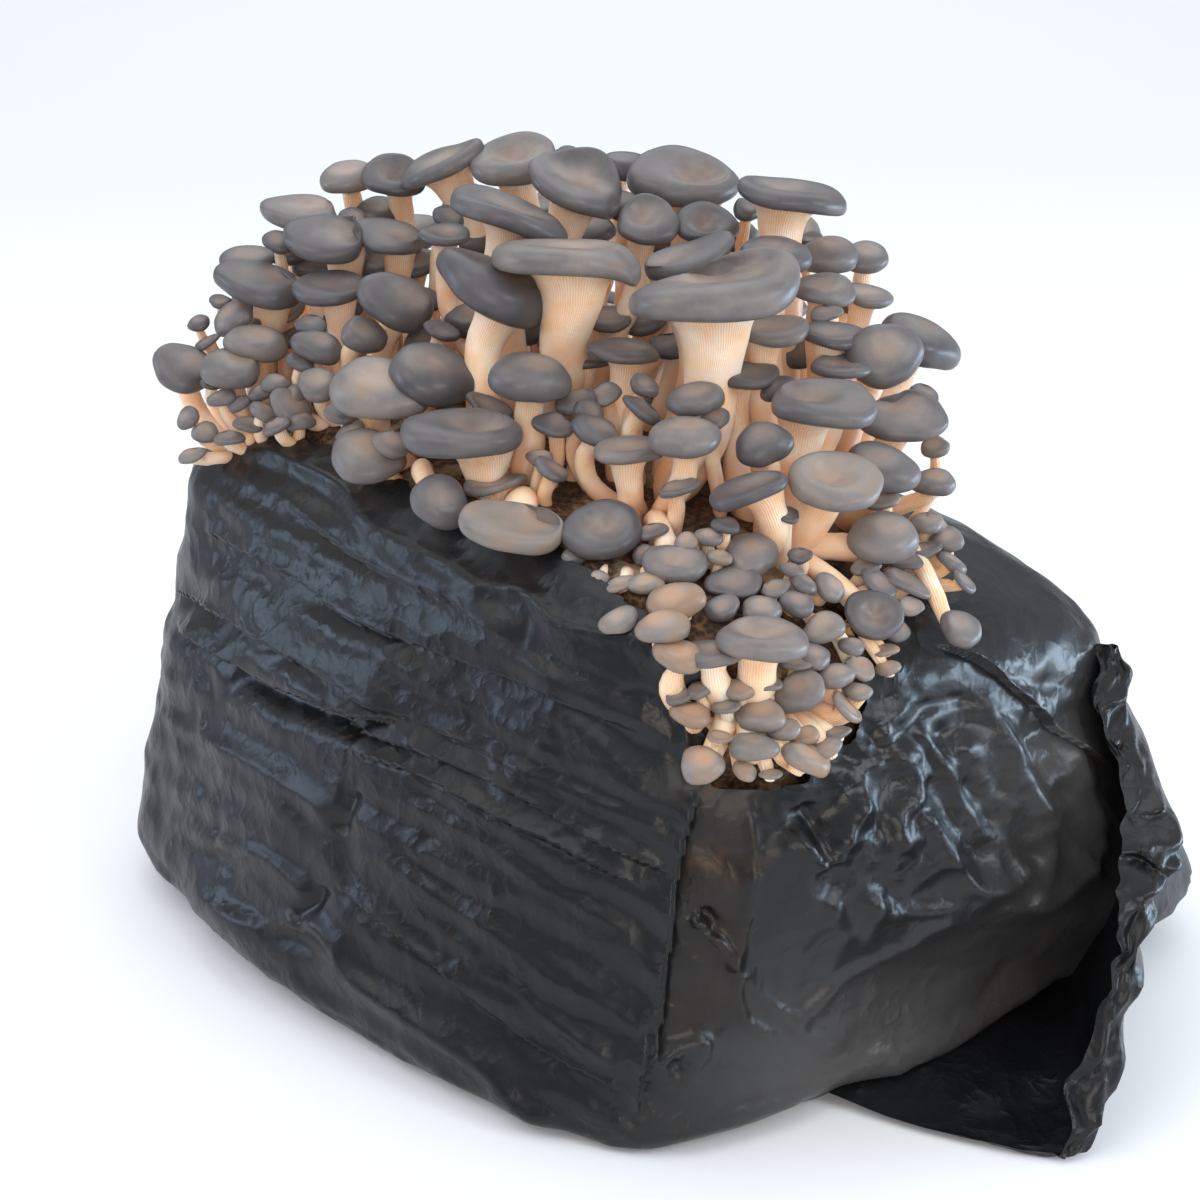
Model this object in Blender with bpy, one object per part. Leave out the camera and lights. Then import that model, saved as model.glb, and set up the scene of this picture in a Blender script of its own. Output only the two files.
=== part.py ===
"""Oyster mushroom grow bag.

A black polyethylene bag lies on its side round a loaf of colonised sawdust. A flush of grey oyster
mushrooms grows through a long opening from the bag's far top edge to its near top corner, and the bag's
open end is pulled round to one side, where its hem stands off the loaf.

Metres, +Z up. X runs from the folded end of the bag (-X) to its far end, and -Y is the glossy side.
The origin is the middle of the flat patch that the bag rests on.
"""
import bpy
import bmesh
from math import asin, atan2, cos, hypot, pi, radians, sin
from mathutils import Vector
from mathutils.bvhtree import BVHTree

MM = 0.001

# Film and fits, and how much of a solid a cut or a union may take or leave
FILM = 1.4 * MM
GAP = 0.3 * MM
GROW = 0.4 * MM
LEAST_LEFT = 0.25
SHELL_SHARE = 0.02
NEARLY_ALL = 0.99
BARELY_MORE = 1.001
FLAT = radians(3.0)

# The loaf: eight corners of the box that it fills before its edges are rounded
NEAR_LOW = Vector((-0.146, -0.138, 0.0))
NEAR_TOP = Vector((-0.113, -0.128, 0.172))
LEFT_LOW = Vector((-0.148, 0.156, 0.0))
LEFT_TOP = Vector((-0.102, 0.152, 0.190))
FAR_LOW = Vector((0.145, -0.156, 0.0))
FAR_TOP = Vector((0.085, -0.150, 0.138))
BACK_LOW = Vector((0.150, 0.140, 0.0))
BACK_TOP = Vector((0.120, 0.130, 0.170))
END_FULLNESS = 0.030
SIDE_FULLNESS = 0.044
BACK_FULLNESS = 0.012
TOP_FULLNESS = 0.016
# The rounding of the loaf's edges: at the near low corner, and what the other sides add to it
EDGE_ROUND, LEFT_ROUND, FAR_ROUND, TOP_ROUND, MOST_ROUND = 0.10, 0.20, 0.20, 0.10, 0.46
DIVISIONS = 6

# The opening in the film, seen from above
OPENING = [(-0.082, 0.128), (-0.094, 0.070), (-0.100, 0.010), (-0.100, -0.060), (-0.106, -0.105), (-0.112, -0.180),
           (-0.068, -0.180), (-0.046, -0.128), (0.000, -0.124), (0.030, -0.096), (0.046, -0.040), (0.048, 0.030),
           (0.030, 0.080), (-0.010, 0.110), (-0.050, 0.128)]
OPENING_LOW = 0.120
OPENING_HIGH = 0.260

# The pulled-out end: where the film leaves the loaf and where its hem runs, from the top round to the floor
LEAVES = [(0.060, -0.135, 0.116), (0.100, -0.110, 0.100), (0.118, -0.100, 0.060), (0.110, -0.108, 0.026),
          (0.078, -0.130, 0.018), (0.020, -0.150, 0.016), (-0.056, -0.140, 0.014)]
HEM = [(0.062, -0.178, 0.124), (0.042, -0.203, 0.098), (0.017, -0.231, 0.083), (-0.010, -0.239, 0.056),
       (-0.044, -0.241, 0.0012), (-0.064, -0.208, 0.0012), (-0.080, -0.158, 0.006)]
TAIL_BELLY = 0.022
TAIL_OUT = Vector((0.55, -0.85, 0.0))
TAIL_CLEAR = 0.1 * MM
TAIL_ALONG = 10
TAIL_ACROSS = 3

# The sight line that the mushrooms were placed along
EYE = Vector((-0.490, -0.4606, 0.387))
AZIMUTH = radians(-46.0)
PITCH = radians(22.5)
FOCAL_PX = 1850.0
CENTRE_PX = 600.0
CORNER_DEPTH = 0.5896
HIDDEN_BACK_MM = 160
RIGHTWARD = Vector((cos(AZIMUTH), sin(AZIMUTH), 0.0))
ONWARD = Vector((-sin(AZIMUTH), cos(AZIMUTH), 0.0))
UPWARD = Vector((0.0, 0.0, 1.0))

# Crowns: places on the loaf that a bunch grows from
CROWNS = {
    "left": Vector((-0.096, 0.104, 0.180)),
    "rear_left": Vector((-0.045, 0.085, 0.195)),
    "mid_left": Vector((-0.080, 0.064, 0.190)),
    "front_left": Vector((-0.085, 0.022, 0.186)),
    "front": Vector((-0.080, -0.026, 0.185)),
    "middle": Vector((-0.024, 0.012, 0.195)),
    "centre": Vector((-0.056, -0.062, 0.180)),
    "right": Vector((-0.042, -0.102, 0.168)),
    "rear_right": Vector((0.012, -0.085, 0.168)),
    "corner": Vector((-0.088, -0.128, 0.140)),
    "rear": Vector((0.018, 0.040, 0.190)),
}

# Mushrooms that stand apart. Each row: name, the cap's middle in the view (px across, px down), how far
# behind the near corner it is (mm), its width and the height that it shows (mm), its roll (degrees, right
# side down), its crown and its form.
LARGE = [
    ("mushroom_left_1", 394, 176, 140, 25, 17, 0, "rear_left", "dish"),
    ("mushroom_left_2", 442, 166, 128, 36, 11, -24, "rear_left", "flat"),
    ("mushroom_left_3", 304, 212, 140, 33, 15, 0, "mid_left", "kidney"),
    ("mushroom_left_4", 326, 238, 118, 34, 19, 8, "mid_left", "kidney"),
    ("mushroom_left_5", 389, 237, 122, 28, 14, 8, "mid_left", "flat"),
    ("mushroom_left_6", 259, 283, 120, 35, 17, 10, "left", "kidney"),
    ("mushroom_left_7", 330, 288, 108, 28, 13, 3, "mid_left", "flat"),
    ("mushroom_left_8", 396, 302, 92, 28, 19, 26, "mid_left", "round"),
    ("mushroom_left_9", 183, 368, 112, 24, 16, 22, "left", "round"),
    ("mushroom_front_1", 380, 391, 56, 34, 20, 8, "front_left", "round"),
    ("mushroom_front_2", 433, 375, 58, 33, 19, 14, "front_left", "round"),
    ("mushroom_front_3", 463, 434, 30, 40, 16, 0, "front", "dish"),
    ("mushroom_front_4", 368, 457, 50, 27, 17, 10, "front_left", "round"),
    ("mushroom_front_5", 513, 527, 8, 33, 18, 12, "front", "kidney"),
    ("mushroom_front_6", 603, 529, 0, 26, 19, 0, "centre", "dish"),
    ("mushroom_front_7", 530, 377, 34, 28, 14, 8, "front", "round"),
    ("mushroom_top_1", 514, 161, 120, 34, 16, -5, "rear_left", "dish"),
    ("mushroom_top_2", 574, 186, 88, 38, 17, 20, "middle", "flat"),
    ("mushroom_top_3", 684, 178, 105, 41, 21, 5, "middle", "dish"),
    ("mushroom_top_4", 508, 214, 74, 43, 12, 17, "middle", "flat"),
    ("mushroom_top_5", 569, 256, 45, 52, 12, 2, "middle", "flat"),
    ("mushroom_top_6", 490, 287, 54, 42, 14, 27, "front", "round"),
    ("mushroom_top_7", 689, 258, 62, 33, 12, -17, "centre", "flat"),
    ("mushroom_top_8", 712, 293, 24, 55, 15, -4, "centre", "kidney"),
    ("mushroom_top_9", 624, 350, 52, 26, 9, 5, "centre", "flat"),
    ("mushroom_top_10", 744, 375, 40, 25, 10, 4, "right", "flat"),
    ("mushroom_right_1", 794, 195, 76, 40, 12, 6, "rear_right", "flat"),
    ("mushroom_right_2", 775, 258, 58, 25, 13, 0, "right", "round"),
    ("mushroom_right_3", 772, 330, 44, 26, 11, -4, "right", "flat"),
    ("mushroom_right_4", 920, 343, 76, 31, 15, 20, "rear_right", "round"),
    ("mushroom_right_5", 884, 355, 48, 26, 24, 0, "rear_right", "round"),
    ("mushroom_right_6", 824, 404, 18, 35, 15, 3, "right", "dish"),
    ("mushroom_right_7", 904, 418, 40, 29, 19, 0, "rear_right", "kidney"),
    ("mushroom_right_8", 837, 481, -2, 31, 19, 8, "right", "dish"),
    ("mushroom_right_9", 748, 490, -6, 26, 10, -18, "right", "flat"),
    ("mushroom_corner_1", 764, 638, -26, 28, 13, 3, "corner", "dish"),
    # The side away from the view
    ("mushroom_rear_1", 560, 205, 170, 36, 15, -8, "rear", "dish"),
    ("mushroom_rear_2", 640, 215, 165, 38, 16, 4, "rear", "kidney"),
    ("mushroom_rear_3", 725, 235, 150, 34, 14, 8, "rear", "flat"),
    ("mushroom_rear_4", 480, 215, 178, 34, 15, -10, "rear_left", "kidney"),
    ("mushroom_rear_5", 405, 235, 185, 30, 14, -12, "rear_left", "round"),
    ("mushroom_rear_6", 590, 262, 205, 36, -10, 0, "rear", "round"),
    ("mushroom_rear_7", 680, 285, 190, 32, -10, 8, "rear", "round"),
    ("mushroom_rear_8", 770, 300, 150, 30, 10, 12, "rear_right", "dish"),
    ("mushroom_rear_9", 330, 285, 185, 28, -10, -14, "rear_left", "round"),
    ("mushroom_rear_10", 840, 345, 125, 26, 9, 16, "rear_right", "flat"),
]

# Smaller mushrooms, grown into one piece with their bunch. Rows as above, without a name.
SMALL = [
    (348, 178, 150, 22, 12, -5, "rear_left", "round"),
    (247, 258, 142, 24, 11, 0, "left", "flat"),
    (233, 318, 120, 18, 11, -5, "left", "round"),
    (255, 343, 108, 23, 13, 10, "left", "round"),
    (231, 368, 102, 23, 13, 12, "left", "round"),
    (318, 347, 92, 18, 11, 8, "mid_left", "round"),
    (364, 335, 88, 18, 11, 3, "mid_left", "round"),
    (318, 385, 84, 16, 12, 0, "mid_left", "round"),
    (291, 407, 90, 16, 11, 0, "mid_left", "round"),
    (440, 502, 20, 20, 16, 20, "front_left", "round"),
    (495, 485, 34, 21, 8, -5, "front", "flat"),
    (581, 359, 66, 20, 8, -3, "middle", "flat"),
    (648, 222, 84, 24, 16, 0, "middle", "dish"),
    (706, 223, 86, 23, 16, 0, "middle", "dish"),
    (624, 166, 130, 20, 9, 5, "middle", "round"),
    (445, 235, 100, 20, 9, 5, "middle", "flat"),
    (596, 432, 26, 18, 9, 0, "centre", "round"),
    (629, 450, 14, 24, 9, 0, "centre", "flat"),
    (686, 438, 4, 24, 11, 0, "centre", "round"),
    (695, 400, 20, 19, 10, -10, "centre", "round"),
    (674, 562, -8, 20, 12, 0, "centre", "dish"),
    (763, 443, 10, 18, 13, -15, "right", "round"),
    (751, 556, -6, 18, 12, 25, "right", "round"),
    (833, 335, 52, 23, 10, 5, "right", "flat"),
    (841, 367, 44, 22, 9, 0, "right", "flat"),
    (882, 538, 4, 24, 15, 0, "right", "round"),
    (874, 615, -12, 19, 16, 0, "right", "dish"),
    (828, 256, 86, 22, 12, 0, "rear_right", "round"),
    (864, 258, 100, 19, 11, 5, "rear_right", "round"),
    (824, 287, 66, 22, 11, 0, "rear_right", "flat"),
    (867, 296, 80, 21, 9, 5, "rear_right", "flat"),
    (882, 468, 22, 25, 15, 0, "rear_right", "round"),
    (933, 482, 40, 15, 9, 5, "rear_right", "round"),
    (961, 629, -6, 14, 11, 20, "rear_right", "round"),
    (675, 602, -20, 17, 11, 0, "corner", "round"),
    (713, 653, -30, 18, 8, 0, "corner", "flat"),
    (800, 692, -32, 16, 12, -10, "corner", "round"),
    (761, 716, -38, 15, 9, 5, "corner", "round"),
    (702, 764, -46, 14, 11, 0, "corner", "round"),
    (805, 759, -42, 15, 8, 8, "corner", "round"),
    (753, 747, -44, 15, 7, 0, "corner", "round"),
    (505, 270, 215, 26, -12, -6, "rear", "dish"),
    (600, 300, 235, 22, -8, 0, "rear", "round"),
    (700, 330, 215, 22, -8, 10, "rear", "round"),
]

LARGE_SIDES = 7
SMALL_SIDES = 6

# A straight mushroom of unit width: radius and height of each ring, as shares of the cap's half width
# (cap) or of the stem's radius (stem)
CAP_RINGS = {
    "round": [(0.60, -0.24), (1.00, -0.04), (0.80, 0.17)],
    "flat": [(0.60, -0.20), (1.00, -0.02), (0.86, 0.12)],
    "dish": [(0.60, -0.20), (1.00, 0.00), (0.84, 0.15)],
    "kidney": [(0.60, -0.20), (1.00, 0.00), (0.82, 0.15)],
}
CAP_TOP = {"round": 0.22, "flat": 0.10, "dish": 0.06, "kidney": 0.10}
CAP_DEPTH = {"round": 0.90, "flat": 0.80, "dish": 0.88, "kidney": 0.74}
NECK_BELOW = 0.62
NECK_SHARE = 0.84
ROOT_WIDER = 1.1
STEM_SHARE = 0.33
STEM_THICK = 0.0090
STEM_THIN = 0.0024
ROOT_SPREAD = 0.30
CLEAR_SHARE = 0.58
ROOT_SUNK = 2.0 * MM
BEND_SHARE = 0.45
NOTCH_DEPTH = 0.16
NOTCH_WIDTH = 1.25

# A cap's shown height against its width: seen from the side, and what its whole face adds
SIDE_ON, FACE_ON = 0.14, 0.80
LEAST_SLOPE, MOST_SLOPE = 0.03, 0.95

# The low mound that a bunch grows from
BASE_RADIUS = 0.021
BASE_HEIGHT = 0.013

# Colours (linear) and finishes
MATERIALS = {
    "film": ((0.012, 0.013, 0.016), 0.32, 0.0),
    "sawdust": ((0.30, 0.19, 0.11), 0.9, 0.0),
    "mushroom": ((0.17, 0.155, 0.145), 0.55, 0.0),
}


def clear_scene():
    for thing in list(bpy.data.objects):
        bpy.data.objects.remove(thing, do_unlink=True)


def material(name):
    made = bpy.data.materials.get(name)
    if made is None:
        made = bpy.data.materials.new(name)
        made.use_nodes = True
        colour, roughness, metallic = MATERIALS[name]
        shader = made.node_tree.nodes["Principled BSDF"]
        shader.inputs["Base Color"].default_value = (*colour, 1.0)
        shader.inputs["Roughness"].default_value = roughness
        shader.inputs["Metallic"].default_value = metallic
    return made


def placed(name, mesh, finish):
    made = bpy.data.objects.new(name, mesh)
    bpy.context.scene.collection.objects.link(made)
    mesh.materials.clear()
    mesh.materials.append(material(finish))
    return made


def mesh_from(bm, name):
    mesh = bpy.data.meshes.new(name)
    bm.to_mesh(mesh)
    bm.free()
    return mesh


def triangulated(mesh):
    bm = bmesh.new()
    bm.from_mesh(mesh)
    bmesh.ops.triangulate(bm, faces=bm.faces)
    return mesh_from(bm, mesh.name)


def mixed(low, high, share):
    return low + (high - low) * share


# Solids combined

def evaluated(thing):
    """The thing's mesh with its modifiers applied; the thing itself is removed."""
    graph = bpy.context.evaluated_depsgraph_get()
    mesh = bpy.data.meshes.new_from_object(thing.evaluated_get(graph))
    bpy.data.objects.remove(thing, do_unlink=True)
    return mesh


def helper(mesh):
    made = bpy.data.objects.new("helper", mesh)
    bpy.context.scene.collection.objects.link(made)
    return made


def boolean(mesh, other, operation, crossed):
    base = helper(mesh.copy())
    tool = helper(other)
    cut = base.modifiers.new("cut", 'BOOLEAN')
    cut.operation = operation
    cut.solver = 'EXACT'
    cut.use_self = crossed
    cut.object = tool
    result = evaluated(base)
    bpy.data.objects.remove(tool, do_unlink=True)
    return result


def volume_if_closed(mesh):
    """The mesh's volume, or zero where it isn't closed."""
    bm = bmesh.new()
    bm.from_mesh(mesh)
    closed = all(len(edge.link_faces) == 2 for edge in bm.edges)
    volume = bm.calc_volume(signed=True) if closed else 0.0
    bm.free()
    return volume


def with_added(mesh, other):
    """The union; a second try allows for a shape that crosses itself."""
    least = volume_if_closed(mesh) * NEARLY_ALL
    for crossed in (False, True):
        result = boolean(mesh, other, 'UNION', crossed)
        if volume_if_closed(result) > least:
            return result
    return mesh


def with_cut(mesh, other, least=LEAST_LEFT):
    """The difference; a second try allows for a shape that crosses itself."""
    whole = volume_if_closed(mesh)
    for crossed in (False, True):
        result = boolean(mesh, other, 'DIFFERENCE', crossed)
        if least * whole < volume_if_closed(result) <= whole * BARELY_MORE:
            return result
    return result


def grown(mesh, distance):
    """A copy whose faces stand off by about the distance."""
    bm = bmesh.new()
    bm.from_mesh(mesh)
    bm.normal_update()
    moves = [v.normal * distance for v in bm.verts]
    for vert, move in zip(bm.verts, moves):
        vert.co += move
    return mesh_from(bm, "grown")


def box_of(mesh):
    corners = [v.co for v in mesh.vertices]
    low = Vector([min(c[i] for c in corners) for i in range(3)])
    high = Vector([max(c[i] for c in corners) for i in range(3)])
    return low, high


def boxes_meet(first, second):
    return all(first[0][i] < second[1][i] and second[0][i] < first[1][i] for i in range(3))


def largest_island(mesh):
    bm = bmesh.new()
    bm.from_mesh(mesh)
    bmesh.ops.triangulate(bm, faces=bm.faces)
    left = set(bm.faces)
    islands = []
    while left:
        island = {left.pop()}
        front = list(island)
        while front:
            face = front.pop()
            for edge in face.edges:
                for other in edge.link_faces:
                    if other in left:
                        left.discard(other)
                        island.add(other)
                        front.append(other)
        islands.append(island)
    middle = sum((v.co for v in bm.verts), Vector()) / max(len(bm.verts), 1)

    def volume(island):
        return sum((f.verts[0].co - middle).dot((f.verts[1].co - middle).cross(f.verts[2].co - middle))
                   for f in island)

    keep = max(islands, key=volume)
    bmesh.ops.delete(bm, geom=[f for f in bm.faces if f not in keep], context='FACES')
    whole = mesh_from(bm, "island")
    plain = simplified(whole)
    return plain if volume_if_closed(plain) > NEARLY_ALL * volume_if_closed(whole) else whole


def simplified(mesh):
    """The mesh with the slivers in its flat places joined up."""
    bm = bmesh.new()
    bm.from_mesh(mesh)
    bmesh.ops.dissolve_limit(bm, angle_limit=FLAT, verts=bm.verts, edges=bm.edges)
    bmesh.ops.triangulate(bm, faces=bm.faces)
    return mesh_from(bm, "simplified")


# The loaf

def rounded(p, radius):
    """A point of the cube from -1 to 1, with the cube's edges rounded to a radius."""
    inner = Vector([min(max(v, radius - 1.0), 1.0 - radius) for v in p])
    out = p - inner
    if out.length < 1e-9:
        return p
    return inner + out.normalized() * radius


def loaf_point(cube_point):
    a, b, c = cube_point
    left, far, up = (1 + b) / 2, (1 + a) / 2, (1 + c) / 2
    radius = min(MOST_ROUND, EDGE_ROUND + LEFT_ROUND * left + FAR_ROUND * far + TOP_ROUND * up)
    a, b, c = rounded(cube_point, radius)
    left, far, up = (1 + b) / 2, (1 + a) / 2, (1 + c) / 2
    near_end = mixed(mixed(NEAR_LOW, NEAR_TOP, up), mixed(LEFT_LOW, LEFT_TOP, up), left)
    far_end = mixed(mixed(FAR_LOW, FAR_TOP, up), mixed(BACK_LOW, BACK_TOP, up), left)
    point = mixed(near_end, far_end, far)
    point.x -= END_FULLNESS * (1 - 0.6 * up) * (1 - far) * (1 - b * b)
    point.y -= SIDE_FULLNESS * (1 - 0.36 * up) * (1 - left) * max(0.0, 1 - 0.62 * (a - 0.18) ** 2)
    point.y += BACK_FULLNESS * left * (1 - a * a) * (1 - c * c)
    point.z += TOP_FULLNESS * up * (1 - a * a) * (1 - b * b)
    return point


def loaf(divisions, inset):
    bm = bmesh.new()
    bmesh.ops.create_cube(bm, size=2.0)
    bmesh.ops.subdivide_edges(bm, edges=bm.edges, cuts=divisions - 1, use_grid_fill=True)
    bmesh.ops.triangulate(bm, faces=bm.faces, quad_method='FIXED')
    for vert in bm.verts:
        vert.co = loaf_point(vert.co)
    bm.normal_update()
    moves = [v.normal * -inset for v in bm.verts]
    for vert, move in zip(bm.verts, moves):
        vert.co += move
    return mesh_from(bm, "loaf")


# The bag

def on_curve(points, share):
    """A point on a smooth curve through the points (Catmull-Rom), share 0 to 1."""
    place = share * (len(points) - 1)
    i = min(int(place), len(points) - 2)
    t = place - i
    p = [Vector(points[min(max(k, 0), len(points) - 1)]) for k in (i - 1, i, i + 1, i + 2)]
    return 0.5 * (2 * p[1] + (p[2] - p[0]) * t + (2 * p[0] - 5 * p[1] + 4 * p[2] - p[3]) * t * t
                  + (3 * p[1] - p[0] - 3 * p[2] + p[3]) * t ** 3)


def tail_point(along, across):
    root = on_curve(LEAVES, along)
    hem = on_curve(HEM, along)
    point = mixed(root, hem, across)
    belly = TAIL_BELLY * 4 * across * (1 - across) * (1 - along) * min(1.0, 4 * along + 0.2)
    point += TAIL_OUT * belly
    point.z = max(point.z, FILM / 2 + TAIL_CLEAR)
    return point


def tail():
    bm = bmesh.new()
    bmesh.ops.create_grid(bm, x_segments=TAIL_ALONG, y_segments=TAIL_ACROSS, size=1.0)
    for vert in bm.verts:
        vert.co = tail_point((vert.co.x + 1) / 2, (vert.co.y + 1) / 2)
    sheet = helper(mesh_from(bm, "tail"))
    wall = sheet.modifiers.new("film", 'SOLIDIFY')
    wall.thickness = FILM
    wall.offset = 0.0
    return evaluated(sheet)


def prism(outline, low, high):
    bm = bmesh.new()
    base = bm.faces.new([bm.verts.new((x, y, low)) for x, y in outline])
    pulled = bmesh.ops.extrude_face_region(bm, geom=[base])
    top = [v for v in pulled["geom"] if isinstance(v, bmesh.types.BMVert)]
    bmesh.ops.translate(bm, verts=top, vec=(0, 0, high - low))
    bmesh.ops.recalc_face_normals(bm, faces=bm.faces)
    return mesh_from(bm, "prism")


def bag():
    outer = with_added(loaf(DIVISIONS, 0.0), tail())
    shell = with_cut(outer, loaf(DIVISIONS, FILM), SHELL_SHARE)
    return triangulated(with_cut(shell, prism(OPENING, OPENING_LOW, OPENING_HIGH)))


# Mushrooms

def sight(across_px, down_px, back_mm, clear, ground):
    """The place seen at a pixel, so far behind the near corner, or nearer where the loaf is in the way."""
    forward = ONWARD * cos(PITCH) - UPWARD * sin(PITCH)
    upright = ONWARD * sin(PITCH) + UPWARD * cos(PITCH)
    x = (across_px - CENTRE_PX) / FOCAL_PX
    y = (down_px - CENTRE_PX) / FOCAL_PX
    line = forward + RIGHTWARD * x - upright * y
    depth = CORNER_DEPTH + back_mm * MM
    reached = ground.ray_cast(EYE, line.normalized())[3]
    if reached is not None and shown_side(back_mm):
        depth = min(depth, reached / line.length - clear)
    return EYE + line * depth


def shown_side(back_mm):
    return back_mm < HIDDEN_BACK_MM


def cap_axis(down_px, width, shown, roll):
    """The way a cap faces. A cap that shows more of its top nods to the viewer; one whose shown height is
    given below zero is on the far side, and nods away."""
    slope = min(max((abs(shown) / width - SIDE_ON) / FACE_ON, LEAST_SLOPE), MOST_SLOPE)
    below = PITCH + atan2(down_px - CENTRE_PX, FOCAL_PX)
    nod = asin(slope) - below if shown > 0 else -asin(slope)
    tilt = radians(roll)
    return (UPWARD * cos(nod) * cos(tilt) - ONWARD * sin(nod) + RIGHTWARD * sin(tilt)).normalized()


def stem_radius(width):
    return min(max(width * STEM_SHARE * 0.5, STEM_THIN), STEM_THICK)


def mushroom(row, ground, sides):
    across_px, down_px, back_mm, width_mm, shown_mm, roll, crown, form = row
    width = width_mm * MM
    half = width / 2
    centre = sight(across_px, down_px, back_mm, CLEAR_SHARE * width, ground)
    axis = cap_axis(down_px, width_mm, shown_mm, roll)
    start = CROWNS[crown]
    reach = Vector((centre.x - start.x, centre.y - start.y, 0.0)) * ROOT_SPREAD
    root, normal = ground.find_nearest(start + reach)[:2]
    root = root - normal * ROOT_SUNK
    wide = (RIGHTWARD - axis * RIGHTWARD.dot(axis)).normalized()
    deep = axis.cross(wide)
    thin = stem_radius(width)
    neck = centre - axis * (NECK_BELOW * half)
    rise = (neck - root).length
    bend = neck - axis * rise * BEND_SHARE

    bm = bmesh.new()
    rings = [(thin * ROOT_WIDER, 0.0), (thin, NECK_SHARE)]
    cap_rings = CAP_RINGS[form]
    if sides == SMALL_SIDES:
        cap_rings = cap_rings[1:]
    profile = [bm.verts.new((0, 0, 0))]
    profile += [bm.verts.new((r, 0, s)) for r, s in rings]
    profile += [bm.verts.new((r * half, 0, 1.0 + NECK_BELOW * half + h * half)) for r, h in cap_rings]
    profile.append(bm.verts.new((0, 0, 1.0 + (NECK_BELOW + CAP_TOP[form]) * half)))
    edges = [bm.edges.new(pair) for pair in zip(profile, profile[1:])]
    bmesh.ops.spin(bm, geom=profile + edges, cent=(0, 0, 0), axis=(0, 0, 1), angle=2 * pi,
                   steps=sides, use_merge=True)
    bmesh.ops.remove_doubles(bm, verts=bm.verts, dist=1e-6)
    bmesh.ops.recalc_face_normals(bm, faces=bm.faces)
    for vert in bm.verts:
        x, y, z = vert.co
        if z > 1.0:
            y *= mixed(1.0, CAP_DEPTH[form], min(1.0, hypot(x, y) / half))
            if form == "kidney" and y < 0:
                y += NOTCH_DEPTH * half * max(0.0, 1 - abs(x) / half * 2 / NOTCH_WIDTH)
            vert.co = neck + axis * (z - 1.0) + wide * x + deep * y
        else:
            spot = root * (1 - z) ** 2 + bend * 2 * z * (1 - z) + neck * z * z
            along = (bend - root) * (1 - z) + (neck - bend) * z
            along.normalize()
            side = (wide - along * wide.dot(along)).normalized()
            vert.co = spot + side * x + along.cross(side) * y
    bmesh.ops.triangulate(bm, faces=bm.faces)
    return mesh_from(bm, "mushroom")


def bunch_base(crown, ground):
    spot, normal = ground.find_nearest(CROWNS[crown])[:2]
    bm = bmesh.new()
    bmesh.ops.create_icosphere(bm, subdivisions=1, radius=BASE_RADIUS)
    turn = UPWARD.rotation_difference(normal)
    for vert in bm.verts:
        vert.co.z *= BASE_HEIGHT / BASE_RADIUS
        vert.co = turn @ vert.co + spot
    return mesh_from(bm, "base")


def carved(mesh, others):
    box = box_of(mesh)
    for other, other_box in others:
        if boxes_meet(box, other_box):
            mesh = with_cut(mesh, other)
    return largest_island(mesh)


def main():
    clear_scene()
    block = triangulated(loaf(DIVISIONS, FILM + GAP))
    film = bag()
    placed("substrate_block", block, "sawdust")
    placed("bag", film, "film")
    surface = bmesh.new()
    surface.from_mesh(block)
    ground = BVHTree.FromBMesh(surface)
    surface.free()

    standing = []
    for mesh in (block, film):
        stand_off = grown(mesh, GROW)
        standing.append((stand_off, box_of(stand_off)))

    for crown in CROWNS:
        bunch = bunch_base(crown, ground)
        for row in SMALL:
            if row[6] == crown:
                bunch = with_added(bunch, mushroom(row, ground, SMALL_SIDES))
        bunch = carved(bunch, standing)
        placed("bunch_" + crown, bunch, "mushroom")
        stand_off = grown(bunch, GROW)
        standing.append((stand_off, box_of(stand_off)))

    for name, *row in LARGE:
        mesh = carved(mushroom(row, ground, LARGE_SIDES), standing)
        placed(name, mesh, "mushroom")
        stand_off = grown(mesh, GROW)
        standing.append((stand_off, box_of(stand_off)))


main()
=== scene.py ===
"""The looks of the oyster mushroom grow bag.

A crumpled black film bag lies on its side round a sawdust block. A flush of grey-brown oyster mushrooms
on pale, gilled stems grows out of a long opening in its top, and the bag's open end is pulled round to
one side. Metres, +Z up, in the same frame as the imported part.
"""

from math import asin, atan2, cos, pi, radians, sin

import bmesh
import bpy
import numpy as np
from mathutils import Matrix, Vector
from mathutils.bvhtree import BVHTree


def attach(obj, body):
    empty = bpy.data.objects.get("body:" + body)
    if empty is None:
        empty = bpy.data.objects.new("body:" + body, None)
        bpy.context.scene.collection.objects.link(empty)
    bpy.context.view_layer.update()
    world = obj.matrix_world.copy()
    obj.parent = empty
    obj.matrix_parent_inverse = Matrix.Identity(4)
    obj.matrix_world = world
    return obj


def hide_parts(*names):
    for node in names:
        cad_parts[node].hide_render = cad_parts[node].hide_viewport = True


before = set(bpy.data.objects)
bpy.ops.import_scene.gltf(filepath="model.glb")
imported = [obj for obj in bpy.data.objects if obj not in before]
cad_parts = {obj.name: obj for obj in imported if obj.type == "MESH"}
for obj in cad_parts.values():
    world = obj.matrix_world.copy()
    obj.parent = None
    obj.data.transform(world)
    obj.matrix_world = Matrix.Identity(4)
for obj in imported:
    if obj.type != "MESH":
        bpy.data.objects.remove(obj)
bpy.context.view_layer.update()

MM = 0.001

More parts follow.
